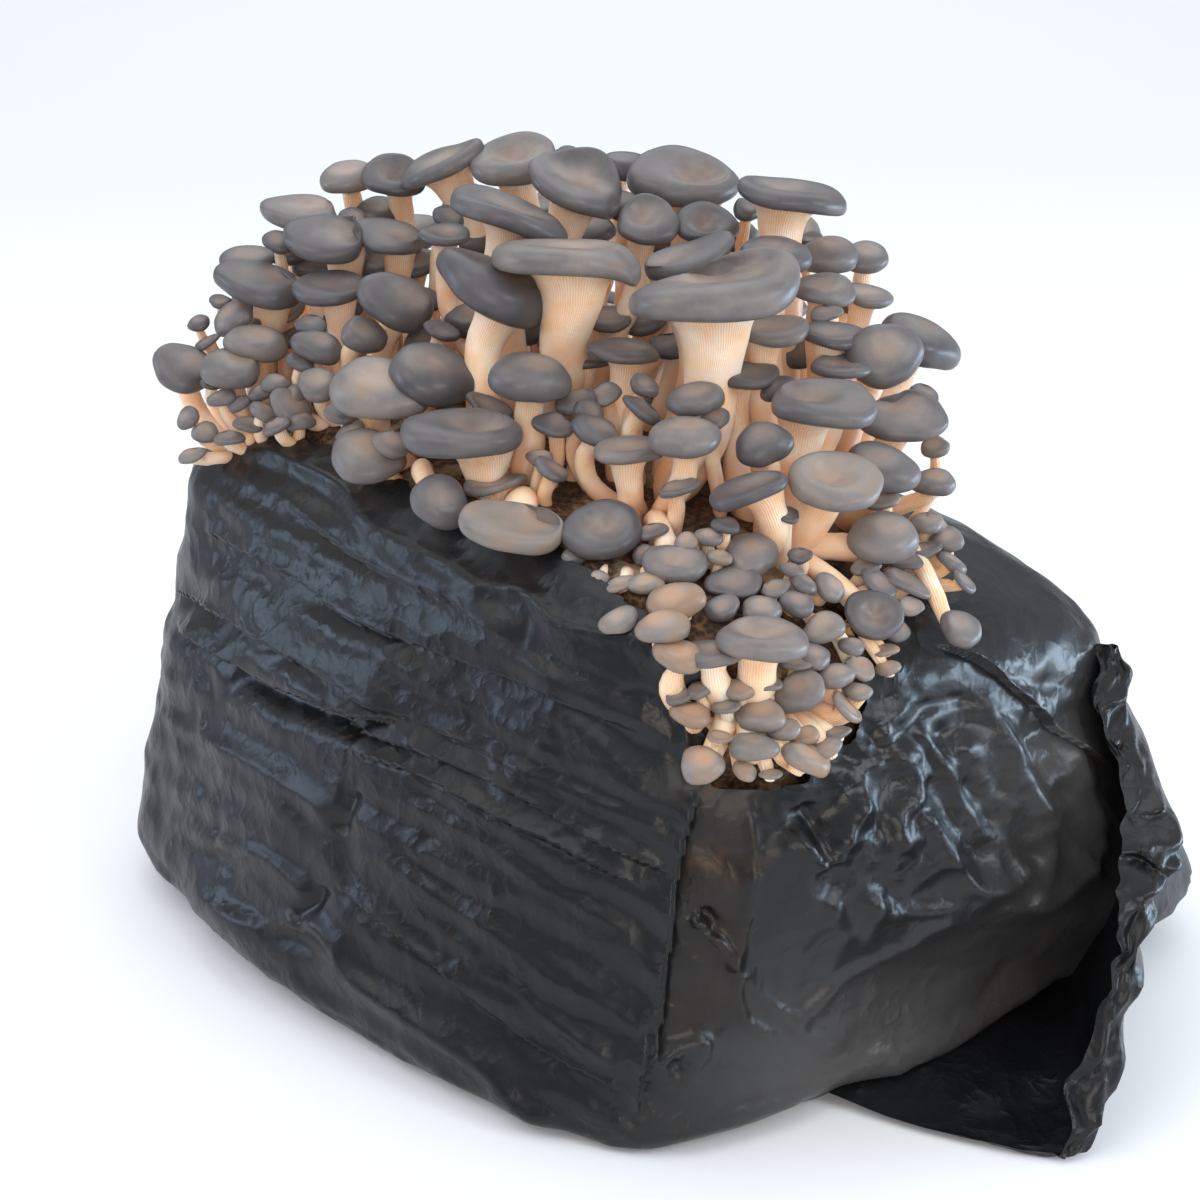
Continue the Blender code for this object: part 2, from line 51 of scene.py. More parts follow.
# The photograph's camera, which also places the mushrooms and the film's folds
EYE = Vector((-0.490, -0.4606, 0.387))
AZIMUTH = radians(-46.0)
PITCH = radians(22.5)
FOCAL_PX = 1850.0
FRAME_PX = 1200.0
CENTRE_PX = FRAME_PX / 2
CORNER_DEPTH = 0.5896
UPWARD = Vector((0.0, 0.0, 1.0))
RIGHTWARD = Vector((cos(AZIMUTH), sin(AZIMUTH), 0.0))
ONWARD = Vector((-sin(AZIMUTH), cos(AZIMUTH), 0.0))
FORWARD = ONWARD * cos(PITCH) - UPWARD * sin(PITCH)
UPRIGHT = ONWARD * sin(PITCH) + UPWARD * cos(PITCH)

# The loaf: eight corners of the box that it fills before its edges are rounded
NEAR_LOW, NEAR_TOP = (-0.146, -0.138, 0.0), (-0.113, -0.128, 0.172)
LEFT_LOW, LEFT_TOP = (-0.148, 0.156, 0.0), (-0.102, 0.152, 0.190)
FAR_LOW, FAR_TOP = (0.145, -0.156, 0.0), (0.085, -0.150, 0.138)
BACK_LOW, BACK_TOP = (0.150, 0.140, 0.0), (0.120, 0.130, 0.170)
# How round its edges are near the viewer at the floor, how much rounder they get to the left, to the far
# side and up, and the roundest, as shares of half a side
EDGE_ROUND, ROUNDER_LEFT, ROUNDER_FAR, ROUNDER_UP, ROUNDEST = 0.10, 0.20, 0.20, 0.10, 0.46
# How far its sides bulge (m), how much less the two near ones do at their top, and where along it the near
# side bulges most (-1 to 1) and how fast that falls away
END_FULLNESS, SIDE_FULLNESS, BACK_FULLNESS, TOP_FULLNESS = 0.030, 0.044, 0.012, 0.016
END_LESS_UP, SIDE_LESS_UP = 0.6, 0.36
SIDE_CREST, SIDE_FALL = 0.18, 0.62

# The opening in the film, seen from above
OPENING = [(-0.088, 0.146), (-0.096, 0.080), (-0.100, 0.010), (-0.100, -0.060), (-0.106, -0.105),
           (-0.112, -0.180), (-0.068, -0.180), (-0.046, -0.128), (0.000, -0.124), (0.030, -0.096),
           (0.046, -0.040), (0.048, 0.030), (0.030, 0.080), (-0.010, 0.112), (-0.046, 0.144)]
OPENING_LOW = 0.120

# Crowns: places on the loaf that a bunch grows from
CROWNS = {
    "left": (-0.096, 0.104, 0.180),
    "rear_left": (-0.045, 0.085, 0.195),
    "mid_left": (-0.080, 0.064, 0.190),
    "front_left": (-0.085, 0.022, 0.186),
    "front": (-0.080, -0.026, 0.185),
    "middle": (-0.024, 0.012, 0.195),
    "centre": (-0.056, -0.062, 0.180),
    "right": (-0.042, -0.102, 0.168),
    "rear_right": (0.012, -0.085, 0.168),
    "corner": (-0.088, -0.128, 0.140),
    "rear": (0.018, 0.040, 0.190),
}

# Mushrooms that stand apart, by the part of the flush that they stand in: the cap's middle in the view (px
# across, px down), how far behind the near corner it is (mm), its width and the height that it shows (mm;
# below zero on the far side, where it nods away), its roll (degrees, right side down), its crown and its form
LARGE = {
    "left": [(394, 176, 140, 25, 17, 0, "rear_left", "dish"), (442, 166, 128, 36, 11, -24, "rear_left", "flat"),
             (304, 212, 140, 33, 15, 0, "mid_left", "kidney"), (326, 238, 118, 34, 19, 8, "mid_left", "kidney"),
             (389, 237, 122, 28, 14, 8, "mid_left", "flat"), (259, 283, 120, 35, 17, 10, "left", "kidney"),
             (330, 288, 108, 28, 13, 3, "mid_left", "flat"), (396, 302, 92, 28, 19, 26, "mid_left", "round"),
             (183, 368, 112, 24, 16, 22, "left", "round")],
    "front": [(380, 391, 56, 34, 20, 8, "front_left", "round"),
              (433, 375, 58, 33, 19, 14, "front_left", "round"), (463, 434, 30, 40, 16, 0, "front", "dish"),
              (368, 457, 50, 27, 17, 10, "front_left", "round"), (513, 527, 8, 33, 18, 12, "front", "kidney"),
              (603, 529, 0, 26, 19, 0, "centre", "dish"), (530, 377, 34, 28, 14, 8, "front", "round")],
    "top": [(514, 161, 120, 34, 16, -5, "rear_left", "dish"), (574, 186, 88, 38, 17, 20, "middle", "flat"),
            (684, 178, 105, 41, 21, 5, "middle", "dish"), (508, 214, 74, 43, 12, 17, "middle", "flat"),
            (569, 256, 45, 52, 12, 2, "middle", "flat"), (490, 287, 54, 42, 14, 27, "front", "round"),
            (689, 258, 62, 33, 12, -17, "centre", "flat"), (712, 293, 24, 55, 15, -4, "centre", "kidney"),
            (624, 350, 52, 26, 9, 5, "centre", "flat"), (744, 375, 40, 25, 10, 4, "right", "flat")],
    "right": [(794, 195, 76, 40, 12, 6, "rear_right", "flat"), (775, 258, 58, 25, 13, 0, "right", "round"),
              (772, 330, 44, 26, 11, -4, "right", "flat"), (920, 343, 76, 31, 15, 20, "rear_right", "round"),
              (884, 355, 48, 26, 24, 0, "rear_right", "round"), (824, 404, 18, 35, 15, 3, "right", "dish"),
              (904, 418, 40, 29, 19, 0, "rear_right", "kidney"), (837, 481, -2, 31, 19, 8, "right", "dish"),
              (748, 490, -6, 26, 10, -18, "right", "flat")],
    "corner": [(764, 638, -26, 28, 13, 3, "corner", "dish")],
    "rear": [(560, 205, 170, 36, 15, -8, "rear", "dish"), (640, 215, 165, 38, 16, 4, "rear", "kidney"),
             (725, 235, 150, 34, 14, 8, "rear", "flat"), (480, 215, 178, 34, 15, -10, "rear_left", "kidney"),
             (405, 235, 185, 30, 14, -12, "rear_left", "round"), (590, 262, 205, 36, -10, 0, "rear", "round"),
             (680, 285, 190, 32, -10, 8, "rear", "round"), (770, 300, 150, 30, 10, 12, "rear_right", "dish"),
             (330, 285, 185, 28, -10, -14, "rear_left", "round"),
             (840, 345, 125, 26, 9, 16, "rear_right", "flat")],
}

# Small mushrooms by their crown: place, width, height shown, roll and form as above
SMALL = {
    "left": [(247, 258, 142, 24, 11, 0, "flat"), (233, 318, 120, 18, 11, -5, "round"),
             (255, 343, 108, 23, 13, 10, "round"), (231, 368, 102, 23, 13, 12, "round")],
    "rear_left": [(348, 178, 150, 22, 12, -5, "round")],
    "mid_left": [(318, 347, 92, 18, 11, 8, "round"), (364, 335, 88, 18, 11, 3, "round"),
                 (318, 385, 84, 16, 12, 0, "round"), (291, 407, 90, 16, 11, 0, "round")],
    "front_left": [(440, 502, 20, 20, 16, 20, "round")],
    "front": [(495, 485, 34, 21, 8, -5, "flat")],
    "middle": [(581, 359, 66, 20, 8, -3, "flat"), (648, 222, 84, 24, 16, 0, "dish"),
               (706, 223, 86, 23, 16, 0, "dish"), (624, 166, 130, 20, 9, 5, "round"),
               (445, 235, 100, 20, 9, 5, "flat")],
    "centre": [(596, 432, 26, 18, 9, 0, "round"), (629, 450, 14, 24, 9, 0, "flat"),
               (686, 438, 4, 24, 11, 0, "round"), (695, 400, 20, 19, 10, -10, "round"),
               (674, 562, -8, 20, 12, 0, "dish")],
    "right": [(763, 443, 10, 18, 13, -15, "round"), (751, 556, -6, 18, 12, 25, "round"),
              (833, 335, 52, 23, 10, 5, "flat"), (841, 367, 44, 22, 9, 0, "flat"),
              (882, 538, 4, 24, 15, 0, "round"), (874, 615, -12, 19, 16, 0, "dish")],
    "rear_right": [(828, 256, 86, 22, 12, 0, "round"), (864, 258, 100, 19, 11, 5, "round"),
                   (824, 287, 66, 22, 11, 0, "flat"), (867, 296, 80, 21, 9, 5, "flat"),
                   (882, 468, 22, 25, 15, 0, "round"), (933, 482, 40, 15, 9, 5, "round"),
                   (961, 629, -6, 14, 11, 20, "round")],
    "corner": [(675, 602, -20, 17, 11, 0, "round"), (713, 653, -30, 18, 8, 0, "flat"),
               (800, 692, -32, 16, 12, -10, "round"), (761, 716, -38, 15, 9, 5, "round"),
               (702, 764, -46, 14, 11, 0, "round"), (805, 759, -42, 15, 8, 8, "round"),
               (753, 747, -44, 15, 7, 0, "round")],
    "rear": [(505, 270, 215, 26, -12, -6, "dish"), (600, 300, 235, 22, -8, 0, "round"),
             (700, 330, 215, 22, -8, 10, "round")],
}

# Tiny mushrooms by their crown: place, width and roll as above
TINY = {
    "left": [(278, 242, 130, 12, 0), (220, 301, 128, 9, 0), (199, 323, 124, 9, 0), (207, 342, 116, 11, 0),
             (188, 418, 98, 10, 0), (192, 455, 96, 12, 10), (276, 384, 94, 11, 0), (292, 250, 150, 20, 0),
             (284, 305, 138, 18, 0), (300, 335, 128, 18, 0), (262, 318, 132, 16, 0), (245, 300, 134, 14, 0),
             (262, 392, 96, 10, 0), (240, 404, 98, 10, 0), (222, 398, 100, 11, 0), (213, 384, 106, 10, 0),
             (247, 424, 94, 11, 0), (229, 438, 94, 11, 0), (206, 432, 98, 10, 0), (264, 412, 92, 11, 0),
             (290, 398, 92, 11, 0), (300, 420, 88, 11, 0)],
    "rear_left": [(449, 219, 112, 13, 0), (415, 262, 135, 20, 0), (380, 262, 150, 20, 0),
                  (462, 200, 150, 18, 0), (480, 240, 140, 18, 0), (376, 214, 156, 20, 0)],
    "mid_left": [(311, 324, 96, 12, 0), (300, 362, 92, 11, 0), (277, 426, 84, 12, 0), (442, 331, 84, 13, 0),
                 (353, 221, 140, 13, 0), (470, 318, 110, 18, 0), (425, 345, 100, 16, 0), (318, 268, 150, 20, 5),
                 (352, 262, 150, 20, 0), (372, 290, 140, 18, 0), (345, 312, 130, 18, 0),
                 (420, 300, 125, 18, 0)],
    "front_left": [(343, 412, 62, 14, 0), (350, 431, 58, 11, 0), (392, 444, 44, 13, 0)],
    "front": [(576, 402, 38, 14, 0), (554, 425, 32, 14, 0), (552, 469, 22, 13, 0), (540, 458, 28, 10, 0),
              (489, 408, 50, 18, 0)],
    "middle": [(566, 158, 126, 12, 0), (607, 318, 105, 18, 0), (530, 326, 100, 18, 5), (645, 322, 110, 18, 0),
               (622, 206, 118, 18, 0), (592, 232, 112, 18, 0), (670, 345, 92, 17, 0), (700, 345, 100, 18, 0),
               (560, 345, 92, 16, 0), (540, 205, 150, 20, 0), (660, 240, 130, 18, 0)],
    "centre": [(605, 394, 40, 12, 0), (644, 386, 34, 10, 20), (642, 409, 26, 14, 35), (590, 414, 30, 12, 0),
               (678, 489, 4, 14, 0), (574, 556, 6, 8, 0), (652, 531, 0, 10, 0), (644, 554, -4, 9, 0),
               (686, 542, -8, 8, 0), (599, 579, -4, 7, 0), (621, 584, -8, 10, 0), (646, 584, -12, 11, 0)],
    "right": [(713, 419, 22, 11, 0), (751, 258, 74, 14, 0), (826, 313, 60, 11, 0), (778, 388, 34, 12, 0),
              (906, 583, 4, 16, 25), (911, 606, -2, 9, 30), (878, 583, -2, 13, 5), (709, 537, -8, 9, 0),
              (726, 526, -8, 9, 0), (720, 558, -12, 8, 0), (734, 583, -14, 17, 0), (792, 570, -12, 8, 0),
              (800, 555, -8, 8, 0), (787, 514, -4, 9, 0), (804, 584, -14, 10, 0), (830, 588, -10, 11, 0),
              (775, 588, -16, 10, 0), (797, 603, -18, 11, 0), (761, 611, -20, 13, 0), (824, 628, -20, 13, 10),
              (860, 667, -20, 11, 0), (888, 668, -16, 8, 0), (852, 646, -20, 9, 0), (885, 650, -14, 8, 0),
              (896, 630, -8, 10, 10), (866, 565, 0, 10, 0)],
    "rear_right": [(748, 210, 100, 12, 0), (811, 238, 92, 9, 0), (925, 394, 50, 12, 0), (935, 447, 44, 10, 0),
                   (883, 500, 16, 12, 0), (924, 549, 18, 12, 10), (927, 523, 24, 12, 5), (936, 526, 26, 12, 10),
                   (946, 540, 22, 12, 12), (951, 563, 16, 11, 15), (964, 581, 12, 10, 15),
                   (803, 352, 84, 17, 0), (740, 300, 104, 18, 0), (905, 560, 10, 11, 10),
                   (735, 235, 125, 18, 0), (800, 232, 110, 18, 0), (850, 300, 100, 16, 0)],
    "corner": [(664, 628, -24, 16, 8), (679, 657, -34, 15, 0), (722, 608, -20, 11, 0), (619, 621, -16, 12, 0),
               (796, 661, -28, 10, 0), (814, 656, -26, 11, 0), (835, 675, -26, 12, 0), (859, 693, -26, 8, 0),
               (846, 707, -30, 13, 60), (768, 685, -36, 9, 0), (679, 696, -38, 9, 0), (691, 715, -40, 12, 0),
               (726, 707, -40, 9, 0), (784, 730, -40, 10, 0), (806, 736, -38, 8, 0), (837, 732, -34, 9, 0),
               (825, 749, -38, 10, 0), (745, 771, -46, 8, 0), (771, 774, -46, 7, 0), (720, 737, -44, 8, 0),
               (700, 690, -38, 8, 0), (740, 690, -38, 9, 0)],
}


# Working in arrays

# How many sine waves cross in an unevenness, how much they differ in size, and the height they keep under
CROSSED, CROSSED_SIZES, CROSSED_HEIGHT = 5, (0.7, 1.3), 2.2


def columns(vectors):
    return np.array([tuple(v) for v in vectors], dtype=float)


def smooth(low, high, value):
    share = np.clip((value - low) / (high - low), 0.0, 1.0)
    return share * share * (3 - 2 * share)


def places(mesh):
    out = np.empty(len(mesh.vertices) * 3)
    mesh.vertices.foreach_get("co", out)
    return out.reshape(-1, 3)


def move_to(mesh, points):
    mesh.vertices.foreach_set("co", np.ascontiguousarray(points, dtype=np.float32).ravel())
    mesh.update()


def facings(mesh):
    out = np.empty(len(mesh.vertices) * 3)
    mesh.vertex_normals.foreach_get("vector", out)
    return out.reshape(-1, 3)


def note(mesh, name, kind, values):
    """Keeps a value on each vertex for the materials to read."""
    made = mesh.attributes.new(name, kind, 'POINT')
    made.data.foreach_set("vector" if kind == 'FLOAT_VECTOR' else "value",
                          np.ascontiguousarray(values, dtype=np.float32).ravel())


def ripple(points, size, seed, octaves=3):
    """Soft unevenness from -1 to 1: a few crossed sine waves of about the given size."""
    rng = np.random.default_rng(seed)
    total = np.zeros(len(points))
    weight = 0.0
    for octave in range(octaves):
        for _ in range(CROSSED):
            way = rng.normal(size=points.shape[1])
            way *= 2 * pi / size * 2 ** octave / np.linalg.norm(way) * rng.uniform(*CROSSED_SIZES)
            total += 0.5 ** octave * np.sin(points @ way + rng.uniform(0, 2 * pi))
        weight += 0.5 ** octave * CROSSED_HEIGHT
    return total / weight


def seen_at(points):
    """Where each point falls in the photograph's frame, in px."""
    offset = points - np.array(EYE)
    depth = offset @ np.array(FORWARD)
    return np.stack([CENTRE_PX + FOCAL_PX * (offset @ np.array(RIGHTWARD)) / depth,
                     CENTRE_PX - FOCAL_PX * (offset @ np.array(UPRIGHT)) / depth], axis=1)


def curve_points(points, steps):
    """Points on a smooth curve through the given ones (Catmull-Rom)."""
    given = np.array(points, dtype=float)
    ends = np.vstack([2 * given[0] - given[1], given, 2 * given[-1] - given[-2]])
    out = []
    for i in range(len(given) - 1):
        a, b, c, d = ends[i:i + 4]
        for t in np.linspace(0, 1, steps, endpoint=False):
            out.append(0.5 * (2 * b + (c - a) * t + (2 * a - 5 * b + 4 * c - d) * t * t
                              + (3 * b - a - 3 * c + d) * t ** 3))
    out.append(given[-1])
    return np.array(out)


# Materials

def srgb(code):
    """A hex colour as the linear values that a shader takes."""
    parts = [int(code[i:i + 2], 16) / 255 for i in (1, 3, 5)]
    return tuple(p / 12.92 if p <= 0.04045 else ((p + 0.055) / 1.055) ** 2.4 for p in parts) + (1.0,)


def add(material, kind, links=None, out=0, stops=(), **settings):
    """Adds a node and gives back its output. Inputs go by name or number: links holds the outputs that
    feed them, and each setting that starts with in_ is an input's own value. Stops are the places and
    colours along a ramp."""
    node = material.node_tree.nodes.new("ShaderNode" + kind)
    for key, value in settings.items():
        if key.startswith("in_"):
            key = key[3:]
            node.inputs[int(key) if key.isdigit() else key.replace("_", " ")].default_value = value
        else:
            setattr(node, key, value)
    for key, source in (links or {}).items():
        material.node_tree.links.new(source, node.inputs[key])
    for place, _ in stops[2:]:
        node.color_ramp.elements.new(place)
    for number, (place, colour) in enumerate(stops):
        node.color_ramp.elements[number].position = place
        node.color_ramp.elements[number].color = srgb(colour)
    return node.outputs[out]


def surface(name, **settings):
    """A new material and its shader, with the values that are the same all over."""
    made = bpy.data.materials.new(name)
    made.use_nodes = True
    shader = made.node_tree.nodes["Principled BSDF"]
    for key, value in settings.items():
        shader.inputs[key.replace("_", " ")].default_value = value
    return made, shader


def feed(shader, links):
    """Links the shader's inputs to the outputs that vary over the surface."""
    for key, source in links.items():
        shader.id_data.links.new(source, shader.inputs[key])


def mushroom_skin():
    """Oyster mushroom flesh. The cap's skin is a matt, finely felted grey-brown, with painted shade that
    darkens it to the margin; the stem and gills are creamy and let some light through, with an apricot tint
    where they are shaded, and painted shade in orange between the gills and in orange-brown towards the foot."""
    made, skin = surface("oyster_mushroom_flesh", IOR=1.4, Subsurface_Radius=(1.0, 0.42, 0.2),
                         Subsurface_Scale=4.0 * MM)
    growth = add(made, "Attribute", out="Vector", attribute_name="growth")
    x, y, along = add(made, "SeparateXYZ", {0: growth}, out=slice(3))
    tone = add(made, "Attribute", out="Fac", attribute_name="tone")
    gills = add(made, "Attribute", out="Fac", attribute_name="gills")
    spot = add(made, "TexCoord", out="Object")

    # Gills: fine ribs about 1 mm apart that run down the flare, drawn from the angle round the stem
    angle = add(made, "Math", {0: y, 1: x}, operation='ARCTAN2')
    wobble = add(made, "TexNoise", {"Vector": spot}, in_Scale=260.0, in_Detail=2.0)
    shifted = add(made, "Math", {0: wobble}, operation='MULTIPLY', in_1=1.6)
    turns = add(made, "Math", {0: angle, 1: gills, 2: shifted}, operation='MULTIPLY_ADD')
    wave = add(made, "Math", {0: turns}, operation='SINE')
    starts = add(made, "MapRange", {"Value": along}, interpolation_type='SMOOTHSTEP', in_1=0.62, in_2=1.05)
    ends = add(made, "MapRange", {"Value": along}, in_1=1.74, in_2=1.80, in_3=1.0, in_4=0.0)
    where = add(made, "Math", {0: starts, 1: ends}, operation='MULTIPLY')
    rib = add(made, "Math", {0: wave, 1: where}, operation='MULTIPLY')

    # Stem and gills, with painted shade: orange in the grooves between the gills and orange-brown towards the
    # foot
    fibre = add(made, "TexNoise", {"Vector": spot}, in_Scale=90.0, in_Detail=4.0)
    stem = add(made, "ValToRGB", {0: fibre}, stops=[(0.30, "#f6cba2"), (0.50, "#fcddc0"), (0.72, "#fff1e2")])
    # Painted shade in the grooves between the gills
    groove_shade = add(made, "MapRange", {"Value": rib}, in_1=-1.0, in_2=0.3, in_3=0.45, in_4=0.0)
    gills_with_groove_shade = add(made, "MixRGB", {0: groove_shade, 1: stem}, in_2=srgb("#dd9a62"))
    # Painted shade: darker orange-brown towards the foot, where the stems go down into the bunch
    foot_shade = add(made, "MapRange", {"Value": along}, in_2=0.62, in_3=0.62, in_4=0.0)
    shaded_stem = add(made, "MixRGB", {0: foot_shade, 1: gills_with_groove_shade}, in_2=srgb("#c07f4c"))

    # Cap: felt-fine mottling, warmer in the middle, and painted shade that darkens it towards the margin, least
    # on the palest caps
    felt = add(made, "TexNoise", {"Vector": spot}, in_Scale=70.0, in_Detail=4.0, in_Roughness=0.6)
    mottled = add(made, "Math", {0: felt, 1: tone}, operation='ADD')
    half = add(made, "Math", {0: mottled}, operation='MULTIPLY', in_1=0.5)
    cap = add(made, "ValToRGB", {0: half}, stops=[(0.28, "#504c4d"), (0.40, "#676363"), (0.52, "#7f7976"),
                                                  (0.62, "#948a82"), (0.72, "#a7896f")])
    middle = add(made, "MapRange", {"Value": along}, interpolation_type='SMOOTHSTEP',
                 in_1=EDGE_OVER, in_2=2.95, in_4=0.50)
    warmth = add(made, "Math", {0: middle, 1: tone}, operation='MULTIPLY')
    warmed = add(made, "MixRGB", {0: warmth, 1: cap}, in_2=srgb("#b58d74"))
    # Painted shade: the cap darkens towards its margin
    rim = add(made, "MapRange", {"Value": along}, interpolation_type='SMOOTHSTEP', in_1=2.62, in_2=2.05)
    margin_shade_strength = add(made, "MapRange", {"Value": tone}, in_1=0.40, in_2=0.70, in_3=0.64, in_4=0.36)
    margin_shade = add(made, "Math", {0: rim, 1: margin_shade_strength}, operation='MULTIPLY')
    cap_with_margin_shade = add(made, "MixRGB", {0: margin_shade, 1: warmed}, in_2=srgb("#434147"))
    over = add(made, "MapRange", {"Value": along}, interpolation_type='SMOOTHSTEP', in_1=1.74, in_2=1.82)
    colour = add(made, "MixRGB", {0: over, 1: shaded_stem, 2: cap_with_margin_shade})

    # Light goes a few millimetres into the flesh of the stem and not into the cap
    depth = add(made, "MapRange", {"Value": over}, in_3=0.45, in_4=0.0)
    gloss = add(made, "MapRange", {"Value": felt}, in_1=0.3, in_2=0.7, in_3=0.30, in_4=0.42)
    fine = add(made, "TexNoise", {"Vector": spot}, in_Scale=900.0, in_Detail=3.0)
    grain = add(made, "Bump", {"Height": fine}, in_Strength=0.10, in_Distance=0.3 * MM)
    ribs = add(made, "Bump", {"Height": rib, "Normal": grain}, in_Strength=0.40, in_Distance=0.30 * MM)
    feed(skin, {"Base Color": colour, "Subsurface Weight": depth, "Roughness": gloss, "Normal": ribs})
    return made


def bag_film():
    """Low-density polyethylene film, blown and dyed black: smooth, half glossy, and full of small creases that
    break its reflections. Where it is stretched thin at the near corner the sawdust tints it brown. Painted
    glints add small brown spots on the folded end, and painted light greys it beside the body's edge."""
    made, film = surface("black_polyethylene_film", IOR=1.51, Specular_IOR_Level=0.28)
    spot = add(made, "TexCoord", out="Object")
    thin = add(made, "Attribute", out="Fac", attribute_name="thin")
    painted_light = add(made, "Attribute", out="Fac", attribute_name="painted_light")
    cloud = add(made, "TexNoise", {"Vector": spot}, in_Scale=14.0, in_Detail=3.0)
    black = add(made, "ValToRGB", {0: cloud}, stops=[(0.35, "#0f1012"), (0.65, "#17181b")])
    # Painted light greys the black film beside the body's edge
    black_with_painted_light = add(made, "MixRGB", {0: painted_light, 1: black}, in_2=srgb("#434242"))
    smear = add(made, "TexNoise", {"Vector": spot}, in_Scale=45.0, in_Detail=4.0)
    brown = add(made, "ValToRGB", {0: smear}, stops=[(0.38, "#14100c"), (0.58, "#21180f"), (0.75, "#4e311a")])
    mixed = add(made, "MixRGB", {0: thin, 1: black_with_painted_light, 2: brown})
    rough = add(made, "MapRange", {"Value": smear}, in_1=0.3, in_2=0.7, in_3=0.28, in_4=0.38)

    # Sharp creases some 15 mm apart with finer ones, 5 mm apart, between them
    creases = add(made, "TexNoise", {"Vector": spot}, noise_type='RIDGED_MULTIFRACTAL', in_Scale=34.0,
                  in_Detail=3.0, in_Roughness=0.55, in_Lacunarity=2.3, in_Offset=0.9, in_Gain=1.6)
    large = add(made, "Bump", {"Height": creases}, in_Strength=0.42, in_Distance=1.2 * MM)
    finer = add(made, "TexNoise", {"Vector": spot}, noise_type='RIDGED_MULTIFRACTAL', in_Scale=110.0,
                in_Detail=2.0, in_Roughness=0.6, in_Offset=0.9, in_Gain=1.4)
    small = add(made, "Bump", {"Height": finer, "Normal": large}, in_Strength=0.22, in_Distance=0.5 * MM)
    feed(film, {"Base Color": mixed, "Roughness": rough, "Normal": small})
    return made


def grown_sawdust():
    """Sawdust bound by mycelium: brown, rough grains of 2 mm under a thin, patchy white felt."""
    made, block = surface("colonised_sawdust", Roughness=0.9)
    spot = add(made, "TexCoord", out="Object")
    grains = add(made, "TexVoronoi", {"Vector": spot}, in_Scale=480.0)
    dust = add(made, "ValToRGB", {0: grains}, stops=[(0.1, "#170e08"), (0.5, "#3a2515"), (0.9, "#6b4a2e")])
    patch = add(made, "TexNoise", {"Vector": spot}, in_Scale=40.0, in_Detail=6.0)
    cover = add(made, "MapRange", {"Value": patch}, in_1=0.54, in_2=0.70, in_4=0.7)
    both = add(made, "MixRGB", {0: cover, 1: dust}, in_2=srgb("#b89f80"))
    lumps = add(made, "Bump", {"Height": grains}, in_Strength=0.6, in_Distance=1.0 * MM)
    feed(block, {"Base Color": both, "Normal": lumps})
    return made


def pale_table():
    """A plain, matt, laminated table top."""
    return surface("pale_table_top", Base_Color=srgb("#eceef2"), Roughness=0.6)[0]


# The loaf

def loaf_places(cube):
    """Points of the loaf's surface for points of the cube from -1 to 1."""
    left, far, up = (1 + cube[:, 1]) / 2, (1 + cube[:, 0]) / 2, (1 + cube[:, 2]) / 2
    radius = EDGE_ROUND + ROUNDER_LEFT * left + ROUNDER_FAR * far + ROUNDER_UP * up
    radius = np.minimum(ROUNDEST, radius)[:, None]
    inner = np.clip(cube, radius - 1, 1 - radius)
    out = cube - inner
    length = np.linalg.norm(out, axis=1, keepdims=True)
    cube = np.where(length > 1e-9, inner + out / np.maximum(length, 1e-9) * radius, cube)
    a, b, c = cube.T
    left, far, up = ((1 + v)[:, None] / 2 for v in (b, a, c))

    def between(low, high, share):
        return np.asarray(low) + (np.asarray(high) - np.asarray(low)) * share

    near_end = between(between(NEAR_LOW, NEAR_TOP, up), between(LEFT_LOW, LEFT_TOP, up), left)
    far_end = between(between(FAR_LOW, FAR_TOP, up), between(BACK_LOW, BACK_TOP, up), left)
    point = between(near_end, far_end, far)
    left, far, up = left[:, 0], far[:, 0], up[:, 0]
    point[:, 0] -= END_FULLNESS * (1 - END_LESS_UP * up) * (1 - far) * (1 - b * b)
    crest = np.maximum(0.0, 1 - SIDE_FALL * (a - SIDE_CREST) ** 2)
    point[:, 1] -= SIDE_FULLNESS * (1 - SIDE_LESS_UP * up) * (1 - left) * crest
    point[:, 1] += BACK_FULLNESS * left * (1 - a * a) * (1 - c * c)
    point[:, 2] += TOP_FULLNESS * up * (1 - a * a) * (1 - b * b)
    return point


def cube_grid(bm, cuts, finer=()):
    """A cube from -1 to 1 in small squares, with the listed sides (axis, sign) cut once more."""
    bmesh.ops.create_cube(bm, size=2.0)
    for axis, count in enumerate(cuts):
        level = [e for e in bm.edges if abs(e.verts[0].co[axis] - e.verts[1].co[axis]) > 1.0]
        bmesh.ops.subdivide_edges(bm, edges=level, cuts=count - 1, use_grid_fill=True)
    for axis, sign in finer:
        side = [f for f in bm.faces if f.normal[axis] * sign > 0.9]
        edges = {e for f in side for e in f.edges}
        bmesh.ops.subdivide_edges(bm, edges=list(edges), cuts=1, use_grid_fill=True)


def inside(outline, points):
    """Which points (in plan) lie inside the outline."""
    x, y = points[:, 0], points[:, 1]
    result = np.zeros(len(points), dtype=bool)
    for (x0, y0), (x1, y1) in zip(outline, outline[1:] + outline[:1]):
        crosses = (y0 > y) != (y1 > y)
        with np.errstate(divide='ignore', invalid='ignore'):
            result ^= crosses & (x < (x1 - x0) * (y - y0) / (y1 - y0 + 1e-12) + x0)
    return result


# The body's edge against the pulled-out end's hollow: beside it painted light greys the film, a lit grey
# standing in for the light that reaches it there
BODY_EDGE = [(835, 1103), (922, 1060), (996, 1026), (1046, 996), (1068, 974), (1094, 900), (1106, 840),
             (1114, 792)]

